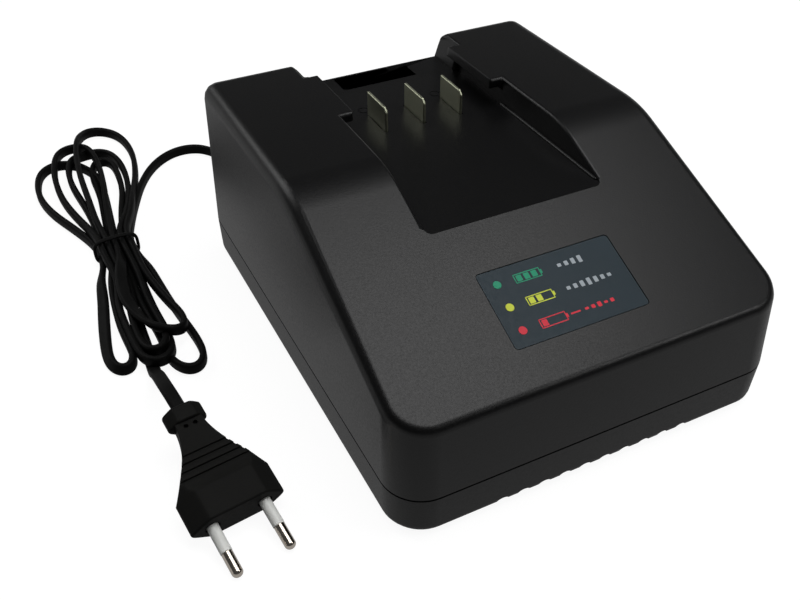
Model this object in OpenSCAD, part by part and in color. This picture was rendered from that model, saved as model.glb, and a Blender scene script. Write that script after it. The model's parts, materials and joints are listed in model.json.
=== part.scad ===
// Charging dock for slide-on power tool batteries, with a flat mains cord and a two-pin plug.
// Millimetres. +Z is up, +Y points to the rear wall, the table is z = 0.

/* [Case] */
// Width of the case at the seam
case_w = 157; // [150:1:170]
// Depth of the case at the seam
case_d = 190; // [184:1:204]
// Height of the rear deck above the table
case_h = 84; // [80:1:94]
// Height of the front edge above the table
front_h = 47.6; // [44:0.2:56]
// Height of the seam between the two shells
seam_h = 19; // [17:0.5:22]
// Wall of both shells
wall = 2.5; // [2.2:0.1:3]
// Plan radius of the front corners
front_r = 14.5; // [13:0.5:18]
// Plan radius of the rear corners
rear_r = 6.5; // [6:0.5:9]
// Fillet of the front top edge
edge_r = 4; // [3:0.5:5]
// Fillet of the side edges at the bend
bend_edge_r = 5.5; // [4:0.5:7]
// Fillet of the deck's rear edge
rear_edge_r = 6; // [4:0.5:6]
// Fillet along the bottom edge
base_r = 3.5; // [3:0.5:5]
// Lean of the front wall
front_lean = 2.2; // [1:0.2:3.6]
// Lean of the side walls
side_lean = 1.6; // [0.6:0.2:4]
// Lean of the rear wall
rear_lean = 0.6; // [0.4:0.2:2]
// Length of the flat deck, rear wall to bend
deck_len = 97; // [88:0.5:102]
// Radius of the bend between slope and deck
bend_r = 50; // [30:1:60]
// Open joint between the two shells
seam_gap = 0.5; // [0.3:0.1:0.7]
// Height of the tongue on the lower shell
tongue_h = 2.2; // [1.6:0.1:3]

/* [Battery bay] */
// Width of the bay
bay_w = 73; // [70:0.5:78]
// Depth of the bay below the deck
bay_depth = 11.8; // [10.6:0.2:13]
// Gap between the two rail lips
rail_gap = 62; // [58:0.5:66]
// Thickness of the rail lips
rail_t = 4.4; // [3.4:0.2:5]
// Length of the rail lips
rail_len = 37.5; // [33:0.5:40]
// Rail lips' distance from the rear wall
rail_back = 17; // [15:0.5:19]
// Corner radius of the bay's front edge
bay_r = 3.5; // [2:0.5:5]
// Bead along the foot of the bay's side walls
bead = 1; // [0.6:0.1:1.4]
// Width of the latch recess
latch_w = 35; // [30:0.5:40]
// Front to back length of the latch recess
latch_l = 12.2; // [10:0.2:14]
// Depth of the latch recess below the bay floor
latch_depth = 12; // [8:0.5:14]
// Rim behind the latch recess
latch_lip = 1.7; // [1.4:0.1:2.4]

/* [Contacts] */
// Distance between neighbouring blades
blade_pitch = 17; // [15:0.5:19]
// Length of a blade, front to back
blade_len = 17.5; // [14:0.5:20]
// Height of a blade above the bay floor
blade_h = 10.2; // [8:0.2:11]
// Thickness of a blade
blade_t = 1.2; // [0.8:0.1:1.5]
// Chamfer at a blade's front corner
blade_chamfer = 1.8; // [1:0.2:2.6]
// Blades' distance from the rear wall
blade_back = 37.7; // [36:0.1:39]
// Height of the contact carrier below the floor
carrier_h = 11; // [9:0.5:14]
// Clearance of a blade in the bay floor
slot_gap = 0.3; // [0.2:0.05:0.5]

/* [Indicator] */
// Width of the indicator label
label_w = 53.6; // [48:0.2:58]
// Length of the indicator label up the slope
label_l = 30; // [28:0.2:34]
// Label's distance from the front edge, up the slope
label_up = 16.2; // [12:0.2:18]
// Sideways place of the label
label_x = -1.2; // [-6:0.1:6]
// Thickness of the label
label_t = 0.5; // [0.3:0.05:0.7]
// Corner radius of the label
label_r = 2; // [1:0.25:3]
// Clearance around the label
label_gap = 0.25; // [0.15:0.05:0.4]
// Diameter of an indicator lamp
lamp_d = 3; // [2.6:0.1:3.6]
// Distance between neighbouring lamps
lamp_pitch = 9.2; // [8:0.1:10]
// Lamps' distance from the label's left edge
lamp_edge = 5.2; // [4:0.1:7]

/* [Base] */
// Height of the rubber feet below the case
foot_h = 1.3; // [1:0.1:2]
// Diameter of the rubber feet
foot_d = 14; // [10:0.5:16]
// Feet's distance from the side walls
foot_side = 34; // [30:1:40]
// Feet's distance from the front and rear walls
foot_end = 24; // [20:1:28]
// Screw posts' distance from the side walls
post_in = 15; // [14:0.25:16]
// Diameter of the screw posts
post_d = 9; // [8:0.25:10]
// Diameter of the case screws
screw_d = 3.5; // [3:0.1:3.9]
// Number of ribs in the front vent row
vent_count = 9; // [5:1:11]
// Distance between neighbouring vent slots
vent_pitch = 8.5; // [7.5:0.1:9]
// Width of a vent slot
vent_w = 2.6; // [2:0.1:3.2]

/* [Circuit board] */
// Main board's distance from the side walls
board_side = 19.5; // [18:0.5:22]
// Main board's distance from the front wall
board_front = 28; // [26:0.5:30]
// Main board's distance from the rear wall
board_rear = 24; // [22:0.5:26]
// Thickness of the main board
board_t = 1.6; // [1.2:0.1:2]
// Height of the main board's pillars
pillar_h = 5; // [4:0.2:7]
// Diameter of the pillars
pillar_d = 7; // [6.4:0.2:8]
// Diameter of the board screws
board_screw_d = 3; // [2.6:0.1:3]

/* [Cord and plug] */
// Width of the flat cord
cord_w = 5.2; // [4.8:0.1:6]
// Thickness of the flat cord
cord_t = 2.8; // [2.6:0.1:3.6]
// Cord outlet's distance from the left side wall
gland_side = 33.5; // [31:0.5:38]
// Diameter of the strain relief's flange
gland_d = 13; // [12:0.5:14]
// Length of the strain relief's sleeve
gland_l = 22; // [20:0.5:28]
// Height of the hank
hank_h = 12.5; // [11:0.5:14]
// Width of the tie band around the hank
tie_w = 4; // [3:0.5:6]
// Thickness of the tie band
tie_t = 1; // [0.6:0.1:1.4]
// Width of the plug's front block
plug_w = 34; // [32:0.5:36]
// Thickness of the plug's front block
plug_t = 13.7; // [12.5:0.1:14]
// Length of the plug, face to collar
plug_l = 39; // [36:0.5:42]
// Length of the plug's front block
plug_block = 12; // [10:0.5:14]
// Number of grip grooves on each side of the plug
groove_count = 4; // [3:1:5]
// Diameter of the plug pins
pin_d = 4; // [3.6:0.1:4.4]
// Length of the plug pins
pin_l = 19; // [17:0.5:21]
// Distance between the plug pins
pin_pitch = 19; // [17:0.5:20]
// Length of the pins' insulating sleeves
sleeve_l = 10; // [8:0.5:12]

/* [Hidden] */
$fn = 32;

// A short overlap that fuses two forms of one piece
eps = 0.02;
base_z = foot_h;
rear_y = case_d / 2;
front_y = front_lean - case_d / 2;
bend_y = rear_y - deck_len;
slope = atan((case_h - front_h) / (bend_y - front_y));
floor_z = case_h - bay_depth;
bay_front = front_y + (floor_z - front_h) / tan(slope);
base_in = 0.4;

// ---------- Shapes shared by both shells ----------

function lean_at(z) = side_lean * (z - seam_h) / (case_h - seam_h);

// Solid ring with radius r, rounded over by e
module round_disc(r, e) {
  rotate_extrude()
    intersection() {
      translate([r - e, 0]) circle(e, $fn = 20);
      translate([0, -e]) square([r, 2 * e]);
    }
}

// Places its child at a corner of a case with half width hx
module at_corners(hx, y) {
  for (side = [-1, 1])
    translate([side * hx, y, 0]) children();
}

// Outline of the seam, set in by i
module seam_plate(i) {
  at_corners(case_w / 2 - front_r, front_r - rear_y)
    cylinder(r = front_r - i, h = eps);
  at_corners(case_w / 2 - rear_r, rear_y - rear_r)
    cylinder(r = rear_r - i, h = eps);
}

// Body of the upper case, set in by i, as one skin pulled over its corner rings
module upper_skin(i) {
  e_top = max(edge_r - i, 0.4);
  e_bend = max(bend_edge_r - i, 0.4);
  e_rear = max(rear_edge_r - i, 0.4);
  front_cy = front_y + (front_r - edge_r) * cos(slope) + edge_r;
  front_cz = front_h + (front_cy - front_y) * tan(slope) - edge_r / cos(slope);
  arc_y = bend_y + bend_r * tan(slope / 2);
  rear_cy = rear_y - rear_lean - rear_r;
  hull() {
    translate([0, 0, seam_h]) seam_plate(i);
    at_corners(case_w / 2 - lean_at(front_cz) - front_r, front_cy)
      translate([0, 0, front_cz]) rotate([slope, 0, 0]) round_disc(front_r - i, e_top);
    for (a = [0 : slope / 4 : slope + eps])
      at_corners(case_w / 2 - lean_at(case_h) - bend_edge_r, arc_y - (bend_r - bend_edge_r) * sin(a))
        translate([0, 0, case_h - bend_r + (bend_r - bend_edge_r) * cos(a)])
          round_disc(e_bend, e_bend);
    at_corners(case_w / 2 - lean_at(case_h) - rear_r, rear_cy)
      translate([0, 0, case_h - rear_edge_r]) round_disc(rear_r - i, e_rear);
  }
}

// Body of the lower case, set in by i
module lower_skin(i) {
  e = max(base_r - i, 0.6);
  hull() {
    translate([0, 0, seam_h - eps]) seam_plate(i);
    at_corners(case_w / 2 - base_in - front_r, base_in + front_r - rear_y)
      translate([0, 0, base_z + base_r]) round_disc(front_r - i, e);
    at_corners(case_w / 2 - base_in - rear_r, rear_y - base_in - rear_r)
      translate([0, 0, base_z + base_r]) round_disc(rear_r - i, e);
  }
}

// Plan of the seam, set in by i
module seam_plan(i) {
  hull() {
    at_corners(case_w / 2 - front_r, front_r - rear_y) circle(front_r - i);
    at_corners(case_w / 2 - rear_r, rear_y - rear_r) circle(rear_r - i);
  }
}

// Puts its child on the slope, with local z square to it and local y up it
module on_slope(x, up) {
  translate([x, front_y, front_h]) rotate([slope, 0, 0]) translate([0, up, 0]) children();
}

// ---------- Screw posts ----------

post_x = case_w / 2 - post_in;
post_front = post_in + 2 - rear_y;
post_rear = rear_y - post_in;
head_d = screw_d * 1.9;
head_h = 2.4;
seat_z = base_z + 5.5;
shank_l = 19;
screw_gap = 0.2;

module at_posts() {
  for (x = [-post_x, post_x], y = [post_front, post_rear])
    translate([x, y, 0]) children();
}

module case_screws() {
  color("silver")
    at_posts() {
      difference() {
        translate([0, 0, seat_z - head_h]) cylinder(d = head_d, h = head_h);
        for (a = [0, 90])
          translate([0, 0, seat_z - head_h]) rotate(a)
            cube([head_d * 0.55, 0.9, 2 * head_h * 0.55], center = true);
      }
      translate([0, 0, seat_z]) cylinder(d = screw_d, h = shank_l - 2);
      translate([0, 0, seat_z + shank_l - 2]) cylinder(d1 = screw_d, d2 = 1, h = 2);
    }
}

// ---------- Battery bay ----------

module bay_plan(grow) {
  hull() {
    for (side = [-1, 1])
      translate([side * (bay_w / 2 - bay_r), bay_front + bay_r]) circle(bay_r + grow);
    translate([-bay_w / 2 - grow, rear_y]) square([bay_w + 2 * grow, 1]);
  }
}

module bay_space() {
  translate([0, 0, floor_z]) linear_extrude(height = bay_depth + 1) {
    bay_plan(0);
    translate([-bay_w / 2, rear_y - 1]) square([bay_w, 3]);
  }
}

rail_y = rear_y - rail_back - rail_len;
lip_w = (bay_w - rail_gap) / 2;

module rail_lips() {
  for (side = [-1, 1])
    hull() {
      translate([side * (bay_w / 2 + 0.5), rail_y + rail_len / 2, case_h - rail_t / 2])
        cube([1, rail_len, rail_t], center = true);
      for (end = [-1, 1])
        translate([side * (rail_gap / 2 + 1), rail_y + rail_len / 2 + end * (rail_len / 2 - 1), case_h - rail_t])
          cylinder(r = 1, h = rail_t - 0.6);
      translate([side * (bay_w / 2 - (lip_w - 0.6) / 2), rail_y + rail_len / 2, case_h - 0.3])
        cube([lip_w - 0.6, rail_len - 1.2, 0.6], center = true);
    }
}

// Rounded bead that closes the corner between floor and side wall
module floor_beads() {
  bead_l = rail_y - bay_front - 2 * bay_r;
  for (side = [-1, 1])
    hull()
      for (end = [bay_front + 2 * bay_r, bay_front + 2 * bay_r + bead_l])
        translate([side * (bay_w / 2), end, floor_z]) sphere(bead, $fn = 16);
}

latch_y = rear_y - latch_lip - latch_l;

module latch_box(grow) {
  translate([-latch_w / 2 - grow, latch_y - grow, floor_z - latch_depth - grow])
    cube([latch_w + 2 * grow, latch_l + 2 * grow, latch_depth + grow + eps]);
}

// ---------- Contacts ----------

blade_y = rear_y - blade_back - blade_len;
carrier_top = floor_z - wall;
carrier_margin = 4;
carrier_w = 2 * blade_pitch + 2 * carrier_margin + 8;
carrier_l = blade_len + 2 * carrier_margin;
carrier_y = blade_y - carrier_margin;
carrier_screw_d = 2.6;
ear_w = 8;
ear_h = 3;
ear_x = carrier_w / 2 + ear_w / 2;
tail_l = 5;
tail_w = 6;

module at_ears() {
  for (side = [-1, 1])
    translate([side * ear_x, carrier_y + carrier_l / 2, 0]) children();
}

module blade(x) {
  translate([x + blade_t / 2, blade_y, 0]) rotate([0, -90, 0])
    linear_extrude(height = blade_t)
      polygon([
        [carrier_top - carrier_h, 0],
        [floor_z + blade_h - blade_chamfer, 0],
        [floor_z + blade_h, blade_chamfer],
        [floor_z + blade_h, blade_len],
        [carrier_top - carrier_h, blade_len],
        [carrier_top - carrier_h, (blade_len + tail_w) / 2],
        [carrier_top - carrier_h - tail_l, (blade_len + tail_w) / 2],
        [carrier_top - carrier_h - tail_l, (blade_len - tail_w) / 2],
        [carrier_top - carrier_h, (blade_len - tail_w) / 2]
      ]);
}

module blade_negative() { color("gainsboro") blade(-blade_pitch); }

module blade_signal() { color("gainsboro") blade(0); }

module blade_positive() { color("gainsboro") blade(blade_pitch); }

module contact_carrier() {
  color("dimgray")
    difference() {
      union() {
        translate([-carrier_w / 2, carrier_y, carrier_top - carrier_h]) cube([carrier_w, carrier_l, carrier_h]);
        at_ears()
          translate([0, 0, carrier_top - ear_h]) {
            translate([-ear_w / 2, -ear_w / 2, 0]) cube([ear_w, ear_w, ear_h]);
          }
      }
      for (x = [-blade_pitch, 0, blade_pitch])
        translate([x - blade_t / 2, blade_y, carrier_top - carrier_h - 1]) cube([blade_t, blade_len, carrier_h + 2]);
      at_ears()
        translate([0, 0, carrier_top - ear_h - 1]) cylinder(d = carrier_screw_d + 0.4, h = ear_h + 2);
    }
}

module carrier_screws() {
  color("silver")
    at_ears() {
      translate([0, 0, carrier_top - ear_h - 1.8]) cylinder(d = 2 * carrier_screw_d, h = 1.8);
      translate([0, 0, carrier_top - ear_h]) cylinder(d = carrier_screw_d, h = ear_h + wall - 0.6);
    }
}

// ---------- Indicator ----------

label_mid = label_up + label_l / 2;
label_sink = 0.6;
lamp_x = label_x - label_w / 2 + lamp_edge;
lamp_gap = 0.2;
lamp_h = 5;
led_board_w = 14;
led_board_end = 10;
led_board_l = 2 * (lamp_pitch + led_board_end);
led_board_t = 1.2;
lamp_top = -label_sink;
led_board_top = lamp_top - lamp_gap - lamp_h;
led_post_d = 6;
led_screw_d = 2.4;
led_board_in = 4;
led_screw_grip = 2.8;

module label_plan(grow) {
  hull()
    for (x = [-1, 1], y = [-1, 1])
      translate([x * (label_w / 2 - label_r), y * (label_l / 2 - label_r)]) circle(label_r + grow, $fn = 16);
}

module indicator_label() {
  color("slategray")
    on_slope(label_x, label_mid) translate([0, 0, -label_sink])
      linear_extrude(height = label_t) label_plan(0);
}

module at_lamps(rows) {
  for (row = rows)
    on_slope(lamp_x, label_mid + row * lamp_pitch) children();
}

module at_led_posts() {
  for (end = [-1, 1])
    on_slope(lamp_x, label_mid + end * (led_board_l / 2 - led_board_in)) children();
}

// Lamp with a domed lens, a base ring and two legs down to its board
module lamp(row) {
  at_lamps([row]) {
    translate([0, 0, led_board_top + 1]) cylinder(d = lamp_d, h = lamp_h - 1 - lamp_d / 2);
    translate([0, 0, lamp_top - lamp_gap - lamp_d / 2])
      intersection() {
        sphere(d = lamp_d);
        translate([0, 0, lamp_d / 2]) cube([2 * lamp_d, 2 * lamp_d, lamp_d], center = true);
      }
    translate([0, 0, led_board_top]) cylinder(d = lamp_d + 0.8, h = 1);
  }
}

module led_green() { color("green") lamp(1); }

module led_yellow() { color("gold") lamp(0); }

module led_red() { color("red") lamp(-1); }

module led_board() {
  color("seagreen")
    difference() {
      on_slope(lamp_x, label_mid) translate([-led_board_w / 2, -led_board_l / 2, led_board_top - led_board_t])
        cube([led_board_w, led_board_l, led_board_t]);
      at_led_posts() translate([0, 0, led_board_top - led_board_t - 1]) cylinder(d = led_screw_d + 0.4, h = led_board_t + 2);
    }
}

module led_board_screws() {
  color("silver")
    at_led_posts() {
      translate([0, 0, led_board_top - led_board_t - 1.6]) cylinder(d = 2 * led_screw_d, h = 1.6);
      translate([0, 0, led_board_top - led_board_t]) cylinder(d = led_screw_d, h = led_board_t + led_screw_grip);
    }
}

// ---------- Upper shell ----------

thread_gap = 0.1;
web_z = seam_h + tongue_h + 6;

// Skin less its inside, with the bay's own walls and the latch cup left standing
module upper_shell() {
  difference() {
    upper_skin(0);
    difference() {
      translate([0, 0, -eps]) upper_skin(wall);
      translate([0, 0, floor_z - wall]) linear_extrude(height = bay_depth + wall + 1) bay_plan(wall);
      latch_box(2);
    }
    bay_space();
    // Half of the wall makes room for the lower shell's tongue
    translate([0, 0, seam_h - 1]) linear_extrude(height = tongue_h + 1.4) seam_plan(wall / 2 + 0.1);
  }
}

// Screw bosses and their webs, and the lamp board's posts, all held under the skin
module upper_bosses() {
  intersection() {
    upper_skin(1);
    union() {
      at_posts() translate([0, 0, seam_h]) cylinder(d = post_d, h = case_h);
      for (side = [-1, 1], y = [post_front, post_rear])
        translate([side * (post_x + post_in / 2), y, web_z + case_h / 2])
          cube([post_in, wall - 0.5, case_h], center = true);
      at_led_posts() translate([0, 0, led_board_top]) cylinder(d = led_post_d, h = -led_board_top, $fn = 24);
    }
  }
}

module top_case() {
  color("#3a3a3a")
    difference() {
      union() {
        upper_shell();
        upper_bosses();
        rail_lips();
        floor_beads();
      }
      latch_box(0);
      gland_hole();
      on_slope(label_x, label_mid) translate([0, 0, -label_sink])
        linear_extrude(height = 3) label_plan(label_gap);
      at_lamps([-1, 0, 1]) translate([0, 0, -wall - 4]) cylinder(d = lamp_d + 0.4, h = wall + 6, $fn = 24);
      for (x = [-blade_pitch, 0, blade_pitch])
        translate([x - blade_t / 2 - slot_gap, blade_y - slot_gap, floor_z - wall - 1])
          cube([blade_t + 2 * slot_gap, blade_len + 2 * slot_gap, wall + 2]);
      at_posts() translate([0, 0, seam_h - 1])
        cylinder(d = screw_d + thread_gap, h = seat_z + shank_l - seam_h + 2, $fn = 24);
      at_led_posts() translate([0, 0, led_board_top - 1])
        cylinder(d = led_screw_d + thread_gap, h = 1.2 + led_screw_grip, $fn = 24);
      at_ears() translate([0, 0, carrier_top - 1])
        cylinder(d = carrier_screw_d + thread_gap, h = wall + 0.5, $fn = 24);
    }
}

// ---------- Lower shell ----------

vent_l = 14;
vent_z = 1.4;

module front_vents() {
  for (i = [0 : vent_count])
    hull()
      for (z = [base_z - 2, base_z + vent_z - vent_w / 2])
        translate([(i - vent_count / 2) * vent_pitch + label_x, base_in - rear_y - 2, z]) rotate([-90, 0, 0])
          cylinder(d = vent_w, h = vent_l, $fn = 16);
}

board_w = case_w - 2 * board_side;
board_l = case_d - board_front - board_rear;
board_y = (board_front - board_rear) / 2;
pillar_in = 6;
pillar_x = board_w / 2 - pillar_in;
pillar_y = board_l / 2 - pillar_in;
board_z = base_z + wall + pillar_h;
board_top = board_z + board_t;

module at_pillars() {
  for (x = [-pillar_x, pillar_x], y = [-pillar_y, pillar_y])
    translate([x, board_y + y, 0]) children();
}

foot_x = case_w / 2 - foot_side;
foot_y = case_d / 2 - foot_end;

module at_feet() {
  for (x = [-foot_x, foot_x], y = [-foot_y, foot_y])
    translate([x, y, 0]) children();
}

foot_sink = 0.8;

module rubber_feet() {
  color("black")
    at_feet() cylinder(d = foot_d, h = foot_h + foot_sink);
}

module bottom_case() {
  color("#2c2c2c")
    difference() {
      union() {
        difference() {
          lower_skin(0);
          translate([0, 0, seam_h - seam_gap]) linear_extrude(height = 5) seam_plan(-1);
          lower_skin(wall);
        }
        // Tongue that locates the upper shell
        difference() {
          translate([0, 0, seam_h - seam_gap - 2]) linear_extrude(height = seam_gap + 2 + tongue_h) seam_plan(wall / 2 + 0.25);
          translate([0, 0, seam_h - seam_gap - 3]) linear_extrude(height = seam_gap + 4 + tongue_h) seam_plan(wall);
        }
        at_posts() translate([0, 0, base_z + 0.5]) cylinder(d = post_d + 1, h = seam_h - base_z - 0.5);
        at_pillars() translate([0, 0, base_z + 0.5]) cylinder(d = pillar_d, h = wall + pillar_h - 0.5, $fn = 24);
      }
      at_posts() {
        translate([0, 0, base_z - 1]) cylinder(d = head_d + 2 * screw_gap, h = seat_z - base_z + 1);
        translate([0, 0, base_z]) cylinder(d = screw_d + 2 * screw_gap, h = seam_h);
      }
      at_pillars() translate([0, 0, board_z - pillar_h + 0.6])
        cylinder(d = board_screw_d + thread_gap, h = pillar_h + 2, $fn = 24);
      at_feet() translate([0, 0, base_z - 1]) cylinder(d = foot_d + 0.3, h = 1 + foot_sink);
      gland_hole();
      front_vents();
    }
}

// ---------- Main board and what it carries ----------

module main_board() {
  color("darkgreen")
    difference() {
      translate([-board_w / 2, board_y - board_l / 2, board_z]) cube([board_w, board_l, board_t]);
      at_pillars() translate([0, 0, board_z - 1]) cylinder(d = board_screw_d + 0.4, h = board_t + 2);
    }
}

module board_screws() {
  color("silver")
    at_pillars() {
      translate([0, 0, board_top]) cylinder(d = 2 * board_screw_d, h = 2);
      translate([0, 0, board_top - board_t - pillar_h + 1]) cylinder(d = board_screw_d, h = board_t + pillar_h - 1);
    }
}

// Places its child on the board, u and v as parts of the board's half width and half length
module on_board(u, v) {
  translate([u * board_w / 2, board_y + v * board_l / 2, board_top]) children();
}

lead_d = 1;
fuse_d = 5.2;
fuse_l = 20;
clip_w = 6;
clip_h = 3;

module fuse() {
  color("whitesmoke")
    on_board(-0.58, 0.86) {
      translate([-fuse_l / 2, 0, clip_h + 1]) rotate([0, 90, 0]) cylinder(d = fuse_d, h = fuse_l);
      for (side = [-1, 1])
        translate([side * (fuse_l - clip_w) / 2, 0, clip_h / 2]) cube([clip_w, fuse_d - 1, clip_h], center = true);
    }
}

varistor_d = 12;
varistor_t = 4.4;

// Coated disc of diameter d and thickness t, standing on two leads
module disc_part(d, t) {
  translate([0, t / 2, d / 2 + 2.5]) rotate([90, 0, 0]) cylinder(d = d, h = t);
  for (side = [-1, 1])
    translate([side * 0.3 * d, 0, 0]) cylinder(d = lead_d, h = d / 2);
}

module varistor() { color("steelblue") on_board(-0.2, 0.87) disc_part(varistor_d, varistor_t); }

xcap_w = 26;
xcap_l = 10;
xcap_h = 17;

module x_capacitor() {
  color("khaki")
    on_board(-0.44, 0.49) translate([-xcap_w / 2, -xcap_l / 2, 0]) cube([xcap_w, xcap_l, xcap_h]);
}

choke_r = 8;
choke_t = 7;
choke_base = 24;
choke_base_h = 3;

module common_mode_choke() {
  color("sienna")
    on_board(-0.64, 0.17) {
      translate([0, 0, choke_base_h + choke_t / 2 - 0.5]) rotate_extrude() translate([choke_r, 0]) circle(d = choke_t);
      translate([-choke_base / 2, -choke_base / 2, 0]) cube([choke_base, choke_base, choke_base_h]);
    }
}

bridge_w = 22;
bridge_t = 4;
bridge_h = 15;
bridge_up = 4;

module bridge_rectifier() {
  color("#222222")
    on_board(-0.64, -0.17) {
      translate([-bridge_w / 2, -bridge_t / 2, bridge_up]) cube([bridge_w, bridge_t, bridge_h]);
      for (i = [-1.5 : 1.5])
        translate([i * bridge_w / 4.4, 0, 0]) cylinder(d = 1.2 * lead_d, h = bridge_up + 1);
    }
}

bulk_d = 22;
bulk_h = 26;

module bulk_capacitor() {
  color("midnightblue")
    on_board(-0.68, -0.52) {
      cylinder(d = bulk_d, h = bulk_h);
      translate([0, 0, bulk_h - eps]) cylinder(d1 = bulk_d, d2 = 0.9 * bulk_d, h = 1);
    }
}

core_w = 34;
core_l = 12;
core_h = 30;
core_leg = 7;
core_side = 3.5;
core_window = 9;
pin_base_h = 3;
flange_l = 26;
flange_t = 1.2;
core_mid = core_w - 2 * core_side - 2 * core_window;
winding_h = core_h - 2 * core_leg;
bobbin_in = core_mid / 2 + flange_t;
bobbin_out = core_mid / 2 + core_window - 0.6;

module at_transformer() {
  on_board(0.17, -0.12) children();
}

module transformer_core() {
  color("#4a4a4a")
    at_transformer() translate([0, 0, pin_base_h])
      difference() {
        translate([-core_w / 2, -core_l / 2, 0]) cube([core_w, core_l, core_h]);
        for (side = [-1, 1])
          translate([side * (core_mid + core_window) / 2 - core_window / 2, -core_l, core_leg])
            cube([core_window, 2 * core_l, winding_h]);
      }
}

// Spool through the core's window, with two flanges and a pin base
module transformer_bobbin() {
  color("#1d1d1d")
    at_transformer()
      difference() {
        union() {
          translate([-bobbin_out, -flange_l / 2, 0]) cube([2 * bobbin_out, flange_l, pin_base_h]);
          translate([-bobbin_in, -core_l / 2 - flange_t, pin_base_h + core_leg])
            cube([2 * bobbin_in, core_l + 2 * flange_t, winding_h]);
          for (z = [0, winding_h - flange_t])
            translate([-bobbin_out, -flange_l / 2, pin_base_h + core_leg + z]) cube([2 * bobbin_out, flange_l, flange_t]);
          for (side = [-1, 1])
            translate([0, side * (flange_l / 2 - 1), pin_base_h + core_leg / 2])
              cube([2 * bobbin_out, 2, core_leg + 1], center = true);
        }
        translate([-core_mid / 2, -core_l / 2, pin_base_h]) cube([core_mid, core_l, core_h + 2]);
      }
}

module transformer_winding() {
  color("gold")
    at_transformer() translate([0, 0, pin_base_h + core_leg + flange_t])
      linear_extrude(height = winding_h - 2 * flange_t)
        difference() {
          square([2 * bobbin_out - flange_t, flange_l - 1.6], center = true);
          square([2 * bobbin_in, core_l + 2 * flange_t], center = true);
        }
}

sink_l = 30;
sink_h = 30;
sink_t = 3;
fin_w = 8;
fin_t = 1.5;
fin_n = 5;

// Finned plate that stands on the board, fins towards +x
module heatsink() {
  translate([-sink_t / 2, -sink_l / 2, 0]) cube([sink_t, sink_l, sink_h]);
  for (i = [0 : fin_n - 1])
    translate([sink_t / 2 - eps, -sink_l / 2 + i * (sink_l - fin_t) / (fin_n - 1), 0]) cube([fin_w, fin_t, sink_h]);
}

package_w = 10;
package_t = 4.5;
package_h = 9.2;
package_up = 5;
tab_t = 1.3;
tab_h = 16;
pin_step = 2.54;

// Power package with its tab against the heatsink's flat face
module power_package() {
  translate([-sink_t / 2, 0, 0]) {
    translate([-tab_t, -package_w / 2, package_up]) cube([tab_t, package_w, tab_h]);
    translate([-package_t, -package_w / 2, package_up]) cube([package_t, package_w, package_h]);
    for (i = [-1, 0, 1])
      translate([-package_t / 2, i * pin_step, package_up / 2]) cube([0.7, 0.8, package_up + eps], center = true);
  }
}

module at_primary_sink() {
  on_board(-0.2, -0.61) children();
}

module at_secondary_sink() {
  on_board(0.81, 0.32) children();
}

module primary_heatsink() { color("lightsteelblue") at_primary_sink() heatsink(); }

module switching_transistor() { color("#262626") at_primary_sink() power_package(); }

module secondary_heatsink() { color("lightsteelblue") at_secondary_sink() heatsink(); }

module output_diode() { color("#262626") at_secondary_sink() power_package(); }

output_cap_d = 10;
output_cap_h = 20;

module output_capacitors() {
  color("darkslateblue")
    for (v = [-0.32, -0.12])
      on_board(0.78, v) cylinder(d = output_cap_d, h = output_cap_h);
}

chip_w = 6.5;
chip_h = 3.2;
chip_pitch = 2.3;

// Two-row chip with n legs a side
module chip_body(n) {
  chip_l = n * chip_pitch;
  translate([-chip_w / 2, -chip_l / 2, 0.6]) cube([chip_w, chip_l, chip_h]);
  for (side = [-1, 1], i = [0 : n - 1])
    translate([side * (chip_w / 2 + 0.3), (i - (n - 1) / 2) * chip_pitch, 1]) cube([0.8, 0.6, 2], center = true);
}

module optocoupler() { color("ivory") on_board(0.17, -0.43) chip_body(2); }

module controller_chip() { color("#202020") on_board(0.58, -0.64) chip_body(4); }

ycap_d = 8;
ycap_t = 3.2;

module y_capacitor() { color("cornflowerblue") on_board(0.2, 0.23) disc_part(ycap_d, ycap_t); }

// ---------- Wires and cord ----------

function unit(v) = v / norm(v);

function tangent(p, i) = unit(p[min(i + 1, len(p) - 1)] - p[max(i - 1, 0)]);

function blend4(a, b, c, d, t) =
  0.5 * (2 * b + (c - a) * t + (2 * a - 5 * b + 4 * c - d) * t * t + (3 * b - a - 3 * c + d) * t * t * t);

// Smooth path through the route points, n steps between neighbours
function smooth(p, n) = [
  for (i = [0 : len(p) - 2], j = [0 : n - 1])
    blend4(p[max(i - 1, 0)], p[i], p[i + 1], p[min(i + 2, len(p) - 1)], j / n),
  p[len(p) - 1]
];

// Tube of oval section, half width a and half thickness b, swept along the path p
module tube(p, a, b, sides = 8, ref = [0, 0, 1]) {
  points = [
    for (i = [0 : len(p) - 1])
      let (t = tangent(p, i), s = unit(cross(ref, t)), u = cross(t, s))
        for (k = [0 : sides - 1])
          p[i] + a * cos(360 * k / sides) * s + b * sin(360 * k / sides) * u
  ];
  sleeve = [
    for (i = [0 : len(p) - 2], k = [0 : sides - 1])
      let (m = (k + 1) % sides, q = i * sides, r = q + sides)
        each [[q + k, r + k, r + m], [q + k, r + m, q + m]]
  ];
  polyhedron(
    points = points,
    faces = concat(
      [[for (k = [0 : sides - 1]) k]],
      [[for (k = [sides - 1 : -1 : 0]) (len(p) - 1) * sides + k]],
      sleeve
    )
  );
}

gland_x = gland_side - case_w / 2;
gland_neck_d = gland_d - 3;
gland_out = rear_y + gland_l;
gland_in = rear_y - wall - 0.2;

module gland_hole() {
  translate([gland_x, rear_y, seam_h]) rotate([90, 0, 0])
    cylinder(d = gland_neck_d + 0.1, h = 4 * wall, center = true);
}

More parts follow.
